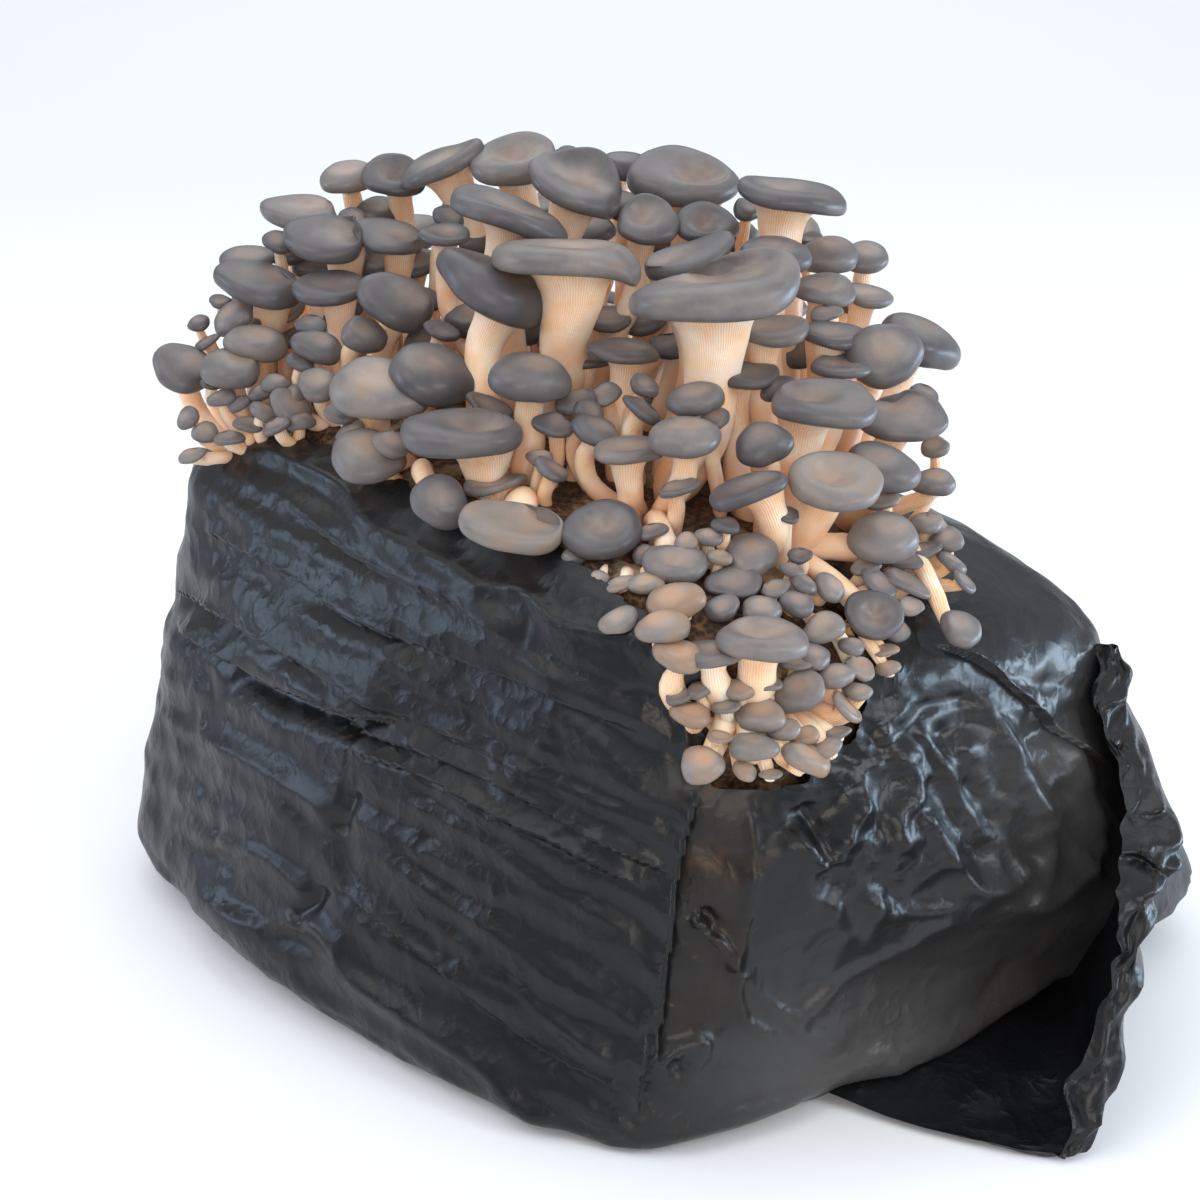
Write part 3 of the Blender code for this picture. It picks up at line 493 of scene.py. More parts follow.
# Folds of the film as the photograph shows them: kind, height (mm), half width (px), points (px).
# A lap is one layer lying over the next: it stands on the upper side of its line and drops below it.
FOLDS = [
    ("ridge", 2.6, 9, [(222, 452), (265, 452), (300, 466), (345, 488), (362, 514), (400, 544), (443, 562),
                       (485, 586), (527, 592), (556, 622), (600, 634), (652, 641)]),
    ("ridge", 1.8, 7, [(655, 641), (676, 700), (690, 752), (697, 785)]),
    ("lap", 6.0, 24, [(172, 622), (205, 643), (245, 668), (290, 692), (335, 706), (360, 716), (400, 722)]),
    ("lap", 3.4, 16, [(330, 712), (352, 728), (410, 747), (480, 775), (530, 800), (580, 830), (630, 855),
                     (682, 878)]),
    ("valley", 4.5, 15, [(225, 668), (262, 690), (300, 706), (345, 722), (360, 738)]),
    ("lap", 2.6, 9, [(342, 750), (410, 770), (460, 795), (500, 817), (550, 840), (595, 865), (650, 892)]),
    ("lap", 2.4, 22, [(195, 525), (245, 552), (300, 580), (345, 615), (430, 650), (510, 680), (570, 705),
                     (640, 735)]),
    ("lap", 1.6, 18, [(285, 500), (345, 550), (410, 585), (450, 600), (475, 620), (520, 645)]),
    ("lap", 2.0, 20, [(165, 585), (230, 620), (280, 650), (330, 675), (365, 700), (420, 722), (520, 770)]),
    ("ridge", 1.8, 9, [(160, 715), (200, 738), (255, 765), (300, 795), (335, 822)]),
    ("ridge", 1.8, 10, [(345, 842), (390, 862), (450, 905), (505, 940), (560, 980), (620, 1015), (650, 1035)]),
    ("lap", 2.0, 20, [(330, 880), (385, 925), (430, 960), (470, 995), (540, 1050), (600, 1080), (640, 1100)]),
    ("ridge", 3.2, 13, [(175, 858), (215, 905), (262, 925), (316, 925), (350, 972), (410, 1018), (480, 1065),
                        (530, 1112), (585, 1146)]),
    ("ridge", 2.0, 9, [(190, 832), (235, 845), (275, 862), (315, 905)]),
    ("valley", 3.0, 8, [(352, 790), (348, 812), (338, 832)]),
    ("valley", 3.0, 9, [(322, 885), (312, 905), (296, 922)]),
    ("valley", 1.6, 10, [(150, 800), (170, 830), (200, 850), (250, 880)]),
    ("ridge", 1.3, 8, [(400, 800), (455, 825), (520, 868), (570, 900), (640, 935)]),
    ("ridge", 1.2, 8, [(500, 760), (560, 785), (620, 810), (670, 830)]),
    ("ridge", 1.2, 8, [(330, 480), (380, 545), (430, 575), (500, 600)]),
    ("ridge", 1.4, 8, [(470, 960), (520, 990), (580, 1040), (630, 1070)]),
    # The flap's free edge at the near corner, and the stretched strip beside it
    ("lap", -4.0, 12, [(697, 786), (686, 830), (677, 872), (673, 900), (664, 979), (656, 1038), (642, 1078),
                       (636, 1125)]),
    ("ridge", 2.0, 7, [(742, 785), (743, 860), (735, 930), (737, 985), (748, 1022), (786, 1036)]),
    ("ridge", 3.0, 7, [(690, 918), (704, 926), (720, 945), (734, 972)]),
    ("valley", 2.5, 7, [(700, 908), (712, 918), (708, 934)]),
    ("ridge", 3.0, 8, [(654, 1068), (672, 1052), (705, 1042), (690, 1070), (664, 1098)]),
    ("valley", 3.5, 8, [(668, 1062), (680, 1074), (668, 1092)]),
    # The glossy side, and the edge where it turns into the pulled-out end's hollow
    ("lap", 8.0, 15, BODY_EDGE),
    ("ridge", 2.6, 8, [(941, 903), (910, 918), (890, 940), (865, 958), (832, 985), (808, 1012), (790, 1034)]),
    ("valley", 4.5, 12, [(790, 795), (800, 820), (809, 849)]),
    ("ridge", 4.5, 12, [(809, 852), (822, 828), (838, 802), (858, 792)]),
    ("ridge", 4.0, 12, [(775, 818), (792, 838), (806, 856)]),
    ("ridge", 4.2, 12, [(845, 770), (875, 752), (898, 762), (900, 785), (880, 800), (872, 822), (883, 846)]),
    ("ridge", 4.4, 12, [(896, 800), (912, 818), (925, 850), (948, 878), (985, 866), (1000, 842)]),
    ("valley", 2.6, 12, [(905, 770), (925, 800), (945, 840), (960, 858)]),
    ("ridge", 4.8, 14, [(975, 685), (990, 722), (1003, 765), (1018, 815), (1014, 860), (990, 892), (960, 896)]),
    ("valley", 2.2, 14, [(1015, 720), (1030, 780), (1036, 830), (1022, 868)]),
    ("ridge", 4.6, 14, [(1050, 715), (1060, 770), (1060, 838), (1040, 870), (1012, 890), (985, 896)]),
    ("valley", 2.4, 10, [(930, 720), (945, 760), (960, 800), (975, 820)]),
    ("ridge", 2.2, 8, [(905, 720), (922, 745), (940, 780), (952, 812), (965, 838)]),
    ("ridge", 2.0, 8, [(872, 726), (890, 742), (912, 752)]),
    ("lap", 3.0, 12, [(932, 642), (980, 662), (1012, 690), (1036, 712), (1062, 742), (1098, 762)]),
    ("ridge", 4.5, 7, [(1108, 640), (1115, 700), (1117, 745), (1113, 790)]),
    ("ridge", 1.8, 8, [(735, 965), (765, 1000), (800, 1030), (850, 1050)]),
    ("ridge", 1.6, 10, [(800, 880), (830, 930), (820, 985)]),
    ("ridge", 1.6, 8, [(860, 870), (850, 915), (858, 950)]),
    ("valley", 1.6, 10, [(965, 925), (1000, 960), (980, 1000), (930, 1020)]),
    ("ridge", 1.4, 8, [(1070, 780), (1082, 830), (1076, 880), (1062, 930)]),
    ("ridge", 2.0, 10, [(660, 1140), (730, 1120), (810, 1090), (900, 1040)]),
]

# A fold fades out over this share of its length at each end. A lap stands and drops away within so many of
# its widths, and drops by this share of its height. The rest have a sharp crest that reaches so many widths
# and makes up this share of their height.
FOLD_ENDS = 0.12
LAP_ABOVE, LAP_BELOW, LAP_DROP = 1.3, 0.5, 0.55
CREST_REACH, CREST_SHARE = 2.2, 0.6
# It is worked out within so many of its widths, with so many steps between its points
FOLD_REACH, FOLD_STEPS = 4, 5
# Creases differ in length, half width and height by these shares, and are looked for this many lengths away
CREASE_LENGTHS, CREASE_WIDTHS, CREASE_HEIGHTS = (0.5, 1.4), (0.5, 1.5), (0.4, 1.0)
CREASE_REACH = 1.5
# Seeds of the film's unevenness: its pleats, its sag, the stretched strip, the opening's two edges, the hem
PLEAT_SEED, SAG_SEED, STRIP_SEED, SLANT_SEED, RIM_SEED, HEM_SEED = 11, 24, 15, 61, 62, 5


def near_line(flat, line, reach):
    """Points within reach of a line: which, how far off it, on which side, and how far along (0 to 1)."""
    low, high = line.min(axis=0) - reach, line.max(axis=0) + reach
    near = np.where(np.all((flat > low) & (flat < high), axis=1))[0]
    best, side, done = np.full(len(near), np.inf), np.zeros(len(near)), np.zeros(len(near))
    for k, (start, end) in enumerate(zip(line, line[1:])):
        way = end - start
        share = np.clip(((flat[near] - start) @ way) / (way @ way), 0, 1)
        away = flat[near] - start - share[:, None] * way
        distance = np.linalg.norm(away, axis=1)
        nearer = distance < best
        best = np.where(nearer, distance, best)
        side = np.where(nearer, np.sign(way[0] * away[:, 1] - way[1] * away[:, 0]), side)
        done = np.where(nearer, (k + share) / (len(line) - 1), done)
    return near, best, side, done


def folded(frame_px):
    """Height (m) of the film's folds at points of the photograph's frame."""
    total = np.zeros(len(frame_px))
    for kind, height, width, points in FOLDS:
        near, best, side, done = near_line(frame_px, curve_points(points, FOLD_STEPS), FOLD_REACH * width)
        fade = smooth(0.0, FOLD_ENDS, done) * smooth(1.0, 1 - FOLD_ENDS, done)
        if kind == "lap":
            above = np.exp(-best / (LAP_ABOVE * width))
            below = -LAP_DROP * np.exp(-best / (LAP_BELOW * width))
            shape = np.where(side * np.sign(height) > 0, below, above)
        else:
            crest = np.maximum(0.0, 1 - best / (CREST_REACH * width)) ** 2
            shape = CREST_SHARE * crest + (1 - CREST_SHARE) * np.exp(-(best / width) ** 2)
            shape = -shape if kind == "valley" else shape
        total[near] += abs(height) * MM * shape * fade
    return total


def crumpled(flat, low, high, seed, count, length, width, height):
    """Height of many short, straight creases scattered over a flat pattern between two of its corners."""
    rng = np.random.default_rng(seed)
    low, high = np.array(low, dtype=float), np.array(high, dtype=float)
    total = np.zeros(len(flat))
    for _ in range(count):
        middle = rng.uniform(low, high)
        angle = rng.uniform(0, pi)
        reach = length * rng.uniform(*CREASE_LENGTHS)
        wide = width * rng.uniform(*CREASE_WIDTHS)
        near = np.where(np.all(np.abs(flat - middle) < reach * CREASE_REACH, axis=1))[0]
        offset = flat[near] - middle
        along = offset @ np.array([cos(angle), sin(angle)])
        across = offset @ np.array([-sin(angle), cos(angle)])
        tent = np.maximum(0.0, 1 - np.abs(across) / wide)
        window = np.maximum(0.0, 1 - (along / reach) ** 2)
        total[near] += rng.choice([-1, 1]) * height * rng.uniform(*CREASE_HEIGHTS) * tent * window
    return total


# The pulled-out end: where the film leaves the loaf and where its hem runs, from the top round to the floor
LEAVES = [(0.060, -0.135, 0.116), (0.100, -0.110, 0.100), (0.118, -0.100, 0.060), (0.110, -0.108, 0.026),
          (0.078, -0.130, 0.018), (0.020, -0.150, 0.016), (-0.056, -0.140, 0.014)]
HEM = [(0.062, -0.178, 0.124), (0.042, -0.203, 0.098), (0.017, -0.231, 0.083), (-0.010, -0.239, 0.056),
       (-0.044, -0.241, 0.0012), (-0.064, -0.208, 0.0012), (-0.080, -0.158, 0.006)]
# Its mesh, how far it bellies out (m), which way, and from what share at the top of its hem, and the share of
# its width before the hem is turned back
TAIL_CUTS, TAIL_STEPS = (150, 56), 40
TAIL_BELLY = 0.022
BELLY_WAY, BELLY_STARTS, BELLY_GROWS = (0.55, -0.85, 0.0), 0.2, 4
HEM_SHARE = 0.74
# The turned-back hem's width (mm) along the hem, from the top round to the floor, and how far it stands off
CUFF = ((0.0, 4), (0.10, 9), (0.20, 13), (0.32, 19), (0.45, 17), (0.58, 13), (0.66, 9), (0.70, 3), (1.0, 2))
CUFF_LEAN, CUFF_LOOP = 0.30, 3.0 * MM
# It stands up to here along the hem, and lies on the floor from there on
STANDS_TO, LIES_FROM = 0.60, 0.70
# Where its width counts as near the hem, and how much of its creases' height it has: away from the hem, more
# at the hem, and where it lies
NEAR_HEM = (0.80, 1.0)
CRUSHED, CRUSHED_MORE, CRUSHED_LYING = 0.30, 0.40, 0.2
# Its creases: low and high corner of the flat film (m), seed, how many, length, half width and height (m)
TAIL_FLAT = (0.34, 0.12)
TAIL_CREASES = (0.0, 0.0), TAIL_FLAT, 31, 150, 0.026, 0.008, 0.0026
HEM_CREASES = (0.0, 0.08), TAIL_FLAT, 32, 130, 0.013, 0.0045, 0.0040
CREASE_WAY = (0.45, -0.80, 0.1)
HEM_WAVE, HEM_WAVE_SIZE, HEM_WAVE_ACROSS = 3.4 * MM, 0.050, 0.02
# How high it lies over the floor: everywhere, more by its unevenness, and more where it is turned back
LIES_AT, LIES_UNEVEN, LIES_TURNED = 0.6 * MM, 1.0 * MM, 1.2 * MM


def pulled_end(bm):
    """The bag's open end, drawn out round the side; its crumpled hem is turned back on itself."""
    before = set(bm.verts)
    bmesh.ops.create_grid(bm, x_segments=TAIL_CUTS[0], y_segments=TAIL_CUTS[1], size=1.0)
    new = [v for v in bm.verts if v not in before]
    flat = columns([v.co for v in new])[:, :2] / 2 + 0.5
    along = flat[:, 0]
    across = np.minimum(flat[:, 1] / HEM_SHARE, 1.0)
    turned = np.maximum(0.0, (flat[:, 1] - HEM_SHARE) / (1 - HEM_SHARE))
    root, hem = (np.stack([np.interp(along, np.linspace(0, 1, len(line)), part) for part in line.T], axis=1)
                 for line in (curve_points(LEAVES, TAIL_STEPS), curve_points(HEM, TAIL_STEPS)))
    point = root + (hem - root) * across[:, None]
    belly = TAIL_BELLY * 4 * across * (1 - across) * (1 - along)
    belly *= np.minimum(1.0, BELLY_STARTS + BELLY_GROWS * along)
    point += np.outer(belly, BELLY_WAY)
    standing = smooth(LIES_FROM, STANDS_TO, along)
    near_hem = smooth(*NEAR_HEM, across)
    width = np.interp(along, *zip(*CUFF)) * MM * turned
    point += np.outer(-width, RIGHTWARD)
    point += np.outer(-CUFF_LEAN * width - CUFF_LOOP * np.sin(pi * turned) * standing, ONWARD)
    laid = flat * TAIL_FLAT
    crush = crumpled(laid, *TAIL_CREASES) * (CRUSHED + CRUSHED_MORE * near_hem)
    crush *= CRUSHED_LYING + (1 - CRUSHED_LYING) * standing
    point += np.outer(crush, CREASE_WAY)
    point += np.outer(crumpled(laid, *HEM_CREASES) * near_hem * standing, -ONWARD)
    crest_place = np.stack([along * TAIL_FLAT[0], turned * HEM_WAVE_ACROSS], axis=1)
    wave = ripple(crest_place, HEM_WAVE_SIZE, HEM_SEED)
    point += np.outer(HEM_WAVE * wave * near_hem * standing, RIGHTWARD)
    least = LIES_AT + LIES_UNEVEN * (1 + wave) * across + LIES_TURNED * turned
    point[:, 2] = np.maximum(point[:, 2], least)
    for vert, spot in zip(new, point):
        vert.co = spot


# The film's squares along X, Y and Z, and how near a sharp fold (px) they are cut once more
FILM_CUTS = (70, 100, 60)
FINER_PX = 9.0
# A fold is sharp below this half width (px); the cube's near sides lie beyond this much of it
SHARP_PX, NEARLY_ONE = 8, 0.98
# How squarely a spot faces the camera, the folded end, the glossy side or an axis for that pattern to show
SEEN_FACING, SIDE_FACING, HIDDEN_FACING = (0.02, 0.22), (0.3, 0.8), (0.45, 0.75)
END_FROM = -0.15
# The folded end's pleats: how they slope, how long and high they are, and how far apart (px)
PLEAT_SLOPE, PLEAT_STRETCH, PLEAT_HEIGHT, PLEAT_GAP = radians(28.5), 0.22, 1.1 * MM, 60.0
# The side swells out above its seam, so that its folds face up to the light: rows in px
BULGE = 14.0 * MM
BULGE_LEFT, BULGE_TOP, BULGE_CREST, BULGE_FOOT = (690, 800), 660, 890, 985
# Creases: low and high corner (px, or m on the hidden sides), seed, how many, length, half width, height (m)
END_CREASES = (140, 440), (700, 1150), 12, 520, 24, 6, 0.45 * MM
SIDE_CREASES = (690, 640), (1120, 1120), 13, 220, 40, 10, 0.5 * MM
GLOSSY_CREASES = (770, 680), (1080, 900), 14, 130, 52, 16, 1.3 * MM
HIDDEN_CREASES = 420, 0.022, 0.007, 1.3 * MM
HIDDEN_LOW, HIDDEN_HIGH, HIDDEN_SEEDS = (-0.17, -0.19), (0.16, 0.19), (21, 22, 23)
HIDDEN_IN_VIEW = 0.15
# Its sag between creases, how far it stays off the floor, and the height below which its folds die away
SAG, SAG_SIZE = 0.8 * MM, 0.05
FLOOR_GAP, RESTS_BELOW = 0.2 * MM, 10 * MM
# The stretched strip beside the near corner: its four sides (px), how its left one leans, and how
# patchy it is
STRIP_TOP, STRIP_RIGHT, STRIP_FOOT, STRIP_LEFT = (775, 800), (766, 722), (1050, 1020), (690, 712)
STRIP_LEAN, STRIP_LEAN_ROW, STRIP_PATCHY, STRIP_PATCH = 0.155, 780, 0.25, 70.0
# Painted glints on the folded end, small spots of the thin film's brown tint: px across, px down, size (px)
PAINTED_GLINTS = ((430, 845, 5), (342, 735, 5), (448, 912, 4), (450, 938, 5))
# How far from the body's edge the painted light greys the film (px)
PAINTED_LIGHT_PX, PAINTED_LIGHT_REACH = 120.0, 3
# Where the opening ends down the near corner, and how ragged its edges are (px and m)
SLANT_START, SLANT_END = (802.0, 790.0), (926.0, 641.0)
CORNER_FROM = -0.135
RAGGED_PX, RAGGED_PX_SIZE = 6.0, 40.0
RAGGED, RAGGED_SIZE, RIM_PASSES = 2.5 * MM, 0.018, 3


def film_lift(base, normal, frame_px, shown):
    """How far (m) each spot of the film stands off the smooth loaf."""
    end_share = shown * smooth(*SIDE_FACING, -normal[:, 0]) * (base[:, 1] > END_FROM)
    side_share = shown * smooth(*SIDE_FACING, -normal[:, 1])
    lift = folded(frame_px) * shown
    slope, rise = cos(PLEAT_SLOPE), sin(PLEAT_SLOPE)
    pleats = frame_px @ np.array([[rise, slope * PLEAT_STRETCH], [-slope, rise * PLEAT_STRETCH]])
    lift += PLEAT_HEIGHT * end_share * ripple(pleats, PLEAT_GAP, PLEAT_SEED, 2)
    lift += end_share * crumpled(frame_px, *END_CREASES)
    bulge = smooth(BULGE_TOP, BULGE_CREST, frame_px[:, 1]) * smooth(BULGE_FOOT, BULGE_CREST, frame_px[:, 1])
    lift += BULGE * side_share * bulge * smooth(*BULGE_LEFT, frame_px[:, 0])
    for creases in (SIDE_CREASES, GLOSSY_CREASES):
        lift += side_share * crumpled(frame_px, *creases)
    for axis, seed in enumerate(HIDDEN_SEEDS):
        face = smooth(*HIDDEN_FACING, np.abs(normal[:, axis])) * (1 - shown * (1 - HIDDEN_IN_VIEW))
        lift += face * crumpled(np.delete(base, axis, axis=1), HIDDEN_LOW, HIDDEN_HIGH, seed, *HIDDEN_CREASES)
    return lift + SAG * ripple(base, SAG_SIZE, SAG_SEED)


def film_marks(frame_px, shown):
    """Where the film is stretched thin or has painted glints, and where painted light greys it, from 0 to 1."""
    across, down = frame_px.T
    patchy = 1 - STRIP_PATCHY + STRIP_PATCHY * ripple(frame_px, STRIP_PATCH, STRIP_SEED, 2)
    leaning = across + STRIP_LEAN * (down - STRIP_LEAN_ROW)
    thin = smooth(*STRIP_LEFT, leaning) * smooth(*STRIP_RIGHT, across) * shown * patchy
    thin *= smooth(*STRIP_FOOT, down) * smooth(*STRIP_TOP, down)
    # Painted glints, added to the thin film's brown tint
    for *spot, size in PAINTED_GLINTS:
        thin += shown * np.exp(-((frame_px - spot) ** 2).sum(axis=1) / size ** 2)
    # Painted light: the film beside the body's edge is greyed, standing in for light that falls on it there
    near, away, side = near_line(frame_px, curve_points(BODY_EDGE, FOLD_STEPS), PAINTED_LIGHT_REACH * PAINTED_LIGHT_PX)[:3]
    painted_light = np.zeros(len(frame_px))
    painted_light[near] = np.where(side < 0, np.exp(-(away / PAINTED_LIGHT_PX) ** 2), 0.0)
    return np.minimum(thin, 1.0), painted_light * shown


def film_mesh():
    """The bag: folded, crumpled film round the loaf with its opening cut, and its pulled-out end."""
    bm = bmesh.new()
    cube_grid(bm, FILM_CUTS, finer=((0, -1), (1, -1)))

    # Smaller squares along the sharp folds
    centres = columns([f.calc_center_median() for f in bm.faces])
    in_view = centres[:, :2].min(axis=1) < -NEARLY_ONE
    faces = [f for f, is_near in zip(bm.faces, in_view) if is_near]
    middle = seen_at(loaf_places(centres[in_view]))
    sharp = set()
    for kind, _, width, points in FOLDS:
        if kind == "lap" or width < SHARP_PX:
            near, away = near_line(middle, curve_points(points, FOLD_STEPS), FINER_PX)[:2]
            sharp.update(near[away < FINER_PX])
    edges = {e for k in sharp for e in faces[k].edges}
    bmesh.ops.subdivide_edges(bm, edges=list(edges), cuts=1, use_grid_fill=True)
    mesh = bpy.data.meshes.new("bag_film")
    bm.to_mesh(mesh)
    bm.free()
    move_to(mesh, loaf_places(places(mesh)))
    base, normal = places(mesh), facings(mesh)

    # What the photograph shows is folded by its frame; the rest is crumpled on its own pattern
    toward = np.array(EYE) - base
    toward /= np.linalg.norm(toward, axis=1, keepdims=True)
    shown = smooth(*SEEN_FACING, np.einsum("ij,ij->i", toward, normal))
    frame_px = seen_at(base)
    lift = film_lift(base, normal, frame_px, shown) * smooth(0.0, RESTS_BELOW, base[:, 2])
    point = base + normal * lift[:, None]
    point[:, 2] = np.maximum(point[:, 2], FLOOR_GAP)
    move_to(mesh, point)

    # The opening
    bm = bmesh.new()
    bm.from_mesh(mesh)
    # The thin film's brown tint with its painted glints, and the painted light beside the body's edge
    for name, values in zip(("thin", "painted_light"), film_marks(frame_px, shown)):
        layer = bm.verts.layers.float.new(name)
        for vert, value in zip(bm.verts, values):
            vert[layer] = value
    centres = columns([f.calc_center_median() for f in bm.faces])
    middle = seen_at(centres)
    slant = np.subtract(SLANT_END, SLANT_START)
    aslant = (middle - SLANT_START) @ (-slant[1], slant[0])
    torn = RAGGED_PX * ripple(middle, RAGGED_PX_SIZE, SLANT_SEED, 2) * abs(slant[1])
    spare = ripple(centres, RAGGED_SIZE, RIM_SEED, 2)[:, None] * RAGGED
    gone = inside(OPENING, centres[:, :2] + spare) & (centres[:, 2] > OPENING_LOW)
    gone &= ~((centres[:, 1] < CORNER_FROM) & (aslant + torn > 0))
    bmesh.ops.delete(bm, geom=[f for f, g in zip(bm.faces, gone) if g], context='FACES')
    rim = [v for v in bm.verts if v.is_boundary]
    for _ in range(RIM_PASSES):
        bmesh.ops.smooth_vert(bm, verts=rim, factor=0.5, use_axis_x=True, use_axis_y=True, use_axis_z=True)
    pulled_end(bm)
    for face in bm.faces:
        face.smooth = True
    bm.to_mesh(mesh)
    bm.free()
    return mesh


# The block's squares along X, Y and Z, how deep it lies under the film and in its opening, and its lumps
BLOCK_CUTS = (70, 70, 44)
UNDER_FILM, UNDER_OPENING = 7.0 * MM, 2.2 * MM
LUMP = 0.8 * MM
LUMP_SIZES = ((0.012, 41), (0.03, 42))


def block_mesh():
    """The pressed sawdust under the film, lumpy where it is bare."""
    bm = bmesh.new()
    cube_grid(bm, BLOCK_CUTS)
    mesh = bpy.data.meshes.new("sawdust_block")
    bm.to_mesh(mesh)
    bm.free()
    move_to(mesh, loaf_places(places(mesh)))
    base, normal = places(mesh), facings(mesh)
    bare = inside(OPENING, base[:, :2]) & (base[:, 2] > OPENING_LOW)
    lift = -np.where(bare, UNDER_OPENING, UNDER_FILM)
    for size, seed in LUMP_SIZES:
        lift += LUMP * ripple(base, size, seed)
    move_to(mesh, base + normal * lift[:, None])
    mesh.shade_smooth()
    return mesh


# Mushrooms. A place along one goes from 0 at its root past 1 at its neck, round the cap's margin and up to
# 3 at the cap's middle. Each list below has the radius and height of the rings of a cap of half width 1.
EDGE_UNDER, EDGE_OVER, CAP_MIDDLE = 1.85, 2.15, 3.0
UNDER = {
    "round": [(0.34, -0.62), (0.36, -0.50), (0.42, -0.38), (0.52, -0.29), (0.65, -0.23), (0.78, -0.205),
              (0.86, -0.22)],
    "flat": [(0.42, -0.62), (0.45, -0.50), (0.50, -0.40), (0.57, -0.30), (0.67, -0.215), (0.79, -0.175),
             (0.86, -0.19)],
}
MARGIN = {
    "round": [(0.92, -0.23), (0.97, -0.18), (1.0, -0.09), (1.0, 0.02), (0.97, 0.13), (0.91, 0.22),
              (0.82, 0.295)],
    "flat": [(0.925, -0.195), (0.975, -0.155), (1.0, -0.08), (1.0, 0.005), (0.98, 0.085), (0.93, 0.15),
             (0.86, 0.19)],
}
TOP = {
    "round": [(0.71, 0.35), (0.58, 0.385), (0.45, 0.405), (0.31, 0.41), (0.19, 0.405), (0.09, 0.40),
              (0.0, 0.40)],
    "flat": [(0.76, 0.21), (0.64, 0.205), (0.50, 0.185), (0.36, 0.15), (0.22, 0.12), (0.10, 0.10),
             (0.0, 0.095)],
    "dish": [(0.76, 0.225), (0.63, 0.23), (0.49, 0.18), (0.35, 0.09), (0.21, 0.0), (0.10, -0.055),
             (0.0, -0.07)],
}
# The neck is this far below the cap's middle (in half widths), and points closer than this are one
NECK_BELOW, TOUCHING = 0.62, 1e-6
# How thick each form is, and how deep from front to back, against its width
CAP_THICK = {"round": 1.0, "flat": 0.76, "dish": 0.95, "kidney": 0.86}
CAP_DEPTH = {"round": 0.92, "flat": 0.86, "dish": 0.92, "kidney": 0.82}

# What the photograph shows of single caps: how far the stem stands right of the cap's middle and behind it
# (in half widths), then the parts of the margin that are lifted: angle and spread in degrees (0 is right,
# 90 is away from the view) and height in half widths
SHAPES = {
    "left_1": (0.10, 0.05, [(200, 60, 0.10)]),
    "left_2": (0.05, 0.10, [(0, 50, 0.12), (120, 60, 0.15)]),
    "left_3": (0.20, 0.10, [(10, 45, -0.30), (150, 60, 0.12)]),
    "left_4": (0.45, 0.10, [(20, 40, 0.32), (200, 50, -0.08)]),
    "left_5": (0.32, 0.00, [(180, 50, 0.14), (0, 40, -0.12)]),
    "left_6": (0.30, 0.20, [(0, 45, -0.10), (170, 50, 0.10)]),
    "left_7": (0.25, 0.00, [(180, 60, -0.06), (90, 60, 0.12)]),
    "left_8": (0.30, 0.00, []),
    "left_9": (0.35, 0.00, []),
    "front_3": (0.35, 0.10, [(180, 60, 0.06), (0, 50, 0.08)]),
    "front_5": (0.40, 0.30, [(15, 45, 0.28), (180, 60, 0.04)]),
    "front_6": (0.08, 0.02, []),
    "front_7": (0.10, 0.05, [(0, 50, -0.10)]),
    "top_1": (0.00, 0.05, [(90, 70, 0.22), (-30, 50, -0.05)]),
    "top_2": (0.12, 0.05, [(75, 50, 0.50), (0, 40, -0.20), (180, 50, 0.06)]),
    "top_3": (0.28, -0.08, [(150, 70, 0.08)]),
    "top_4": (0.20, 0.10, [(0, 45, -0.08), (120, 60, 0.12)]),
    "top_5": (0.06, 0.10, [(0, 40, -0.28), (180, 50, -0.07), (90, 60, 0.05)]),
    "top_6": (0.32, 0.00, [(180, 50, 0.06)]),
    "top_7": (-0.50, 0.00, [(20, 55, 0.16), (180, 40, -0.05)]),
    "top_8": (0.02, 0.22, [(25, 50, 0.34), (180, 45, -0.06), (-60, 60, -0.10)]),
    "top_9": (0.10, 0.00, [(0, 40, -0.12)]),
    "top_10": (-0.20, 0.10, [(10, 50, 0.18), (180, 50, 0.02)]),
    "right_1": (-0.15, 0.05, [(180, 40, 0.14), (0, 50, -0.06), (-80, 50, -0.05)]),
    "right_3": (-0.25, 0.05, [(0, 60, 0.08)]),
    "right_6": (-0.30, 0.10, [(20, 60, 0.10), (180, 50, -0.03)]),
    "right_7": (-0.10, 0.30, [(60, 50, 0.20)]),
    "right_8": (-0.18, 0.05, [(0, 50, 0.06)]),
    "right_9": (0.35, 0.05, [(10, 50, 0.10)]),
    "corner_1": (-0.08, 0.05, [(0, 50, -0.06)]),
}

# The same for the rest, by chance; a kidney-shaped cap's stem stands behind its middle
CHANCE_OFF, CHANCE_SPREAD, CHANCE_LIFT = (0.02, 0.24), (40, 70), 0.10
KIDNEY_OFF, KIDNEY_TURN = 0.26, 0.5

# Sides round and rings up the stem, and how far the roots spread from their crown
LARGE_CUT, SMALL_CUT, TINY_CUT = (80, 14), (40, 10), (24, 8)
ROOT_SPREAD, TINY_SPREAD = 0.30, 0.80
# Each piece has a seed of its own
FIRST_SEED, BUNCH_SEED = 1, 100
# The tiny ones take turns: how much of its width each shows, and its form
TINY_SHOWN = (0.50, 0.62, 0.74)
TINY_FORMS = ("round", "flat", "round", "kidney")

# Behind this the loaf doesn't limit a cap's place; before it, a cap clears the loaf by a share of its width
HIDDEN_BACK_MM = 160
CLEAR_SHARE = 0.58
# The share of its width that a cap shows edge on, and how much more it shows from right above
EDGE_ON, FACE_ON = 0.14, 0.80
LEAST_SLOPE, MOST_SLOPE = 0.03, 0.95
# Caps up to this wide (mm) lean and wave more
SMALLEST_MM, SMALL_LEAN, SMALL_UNEVEN = 18, 16, 1.6

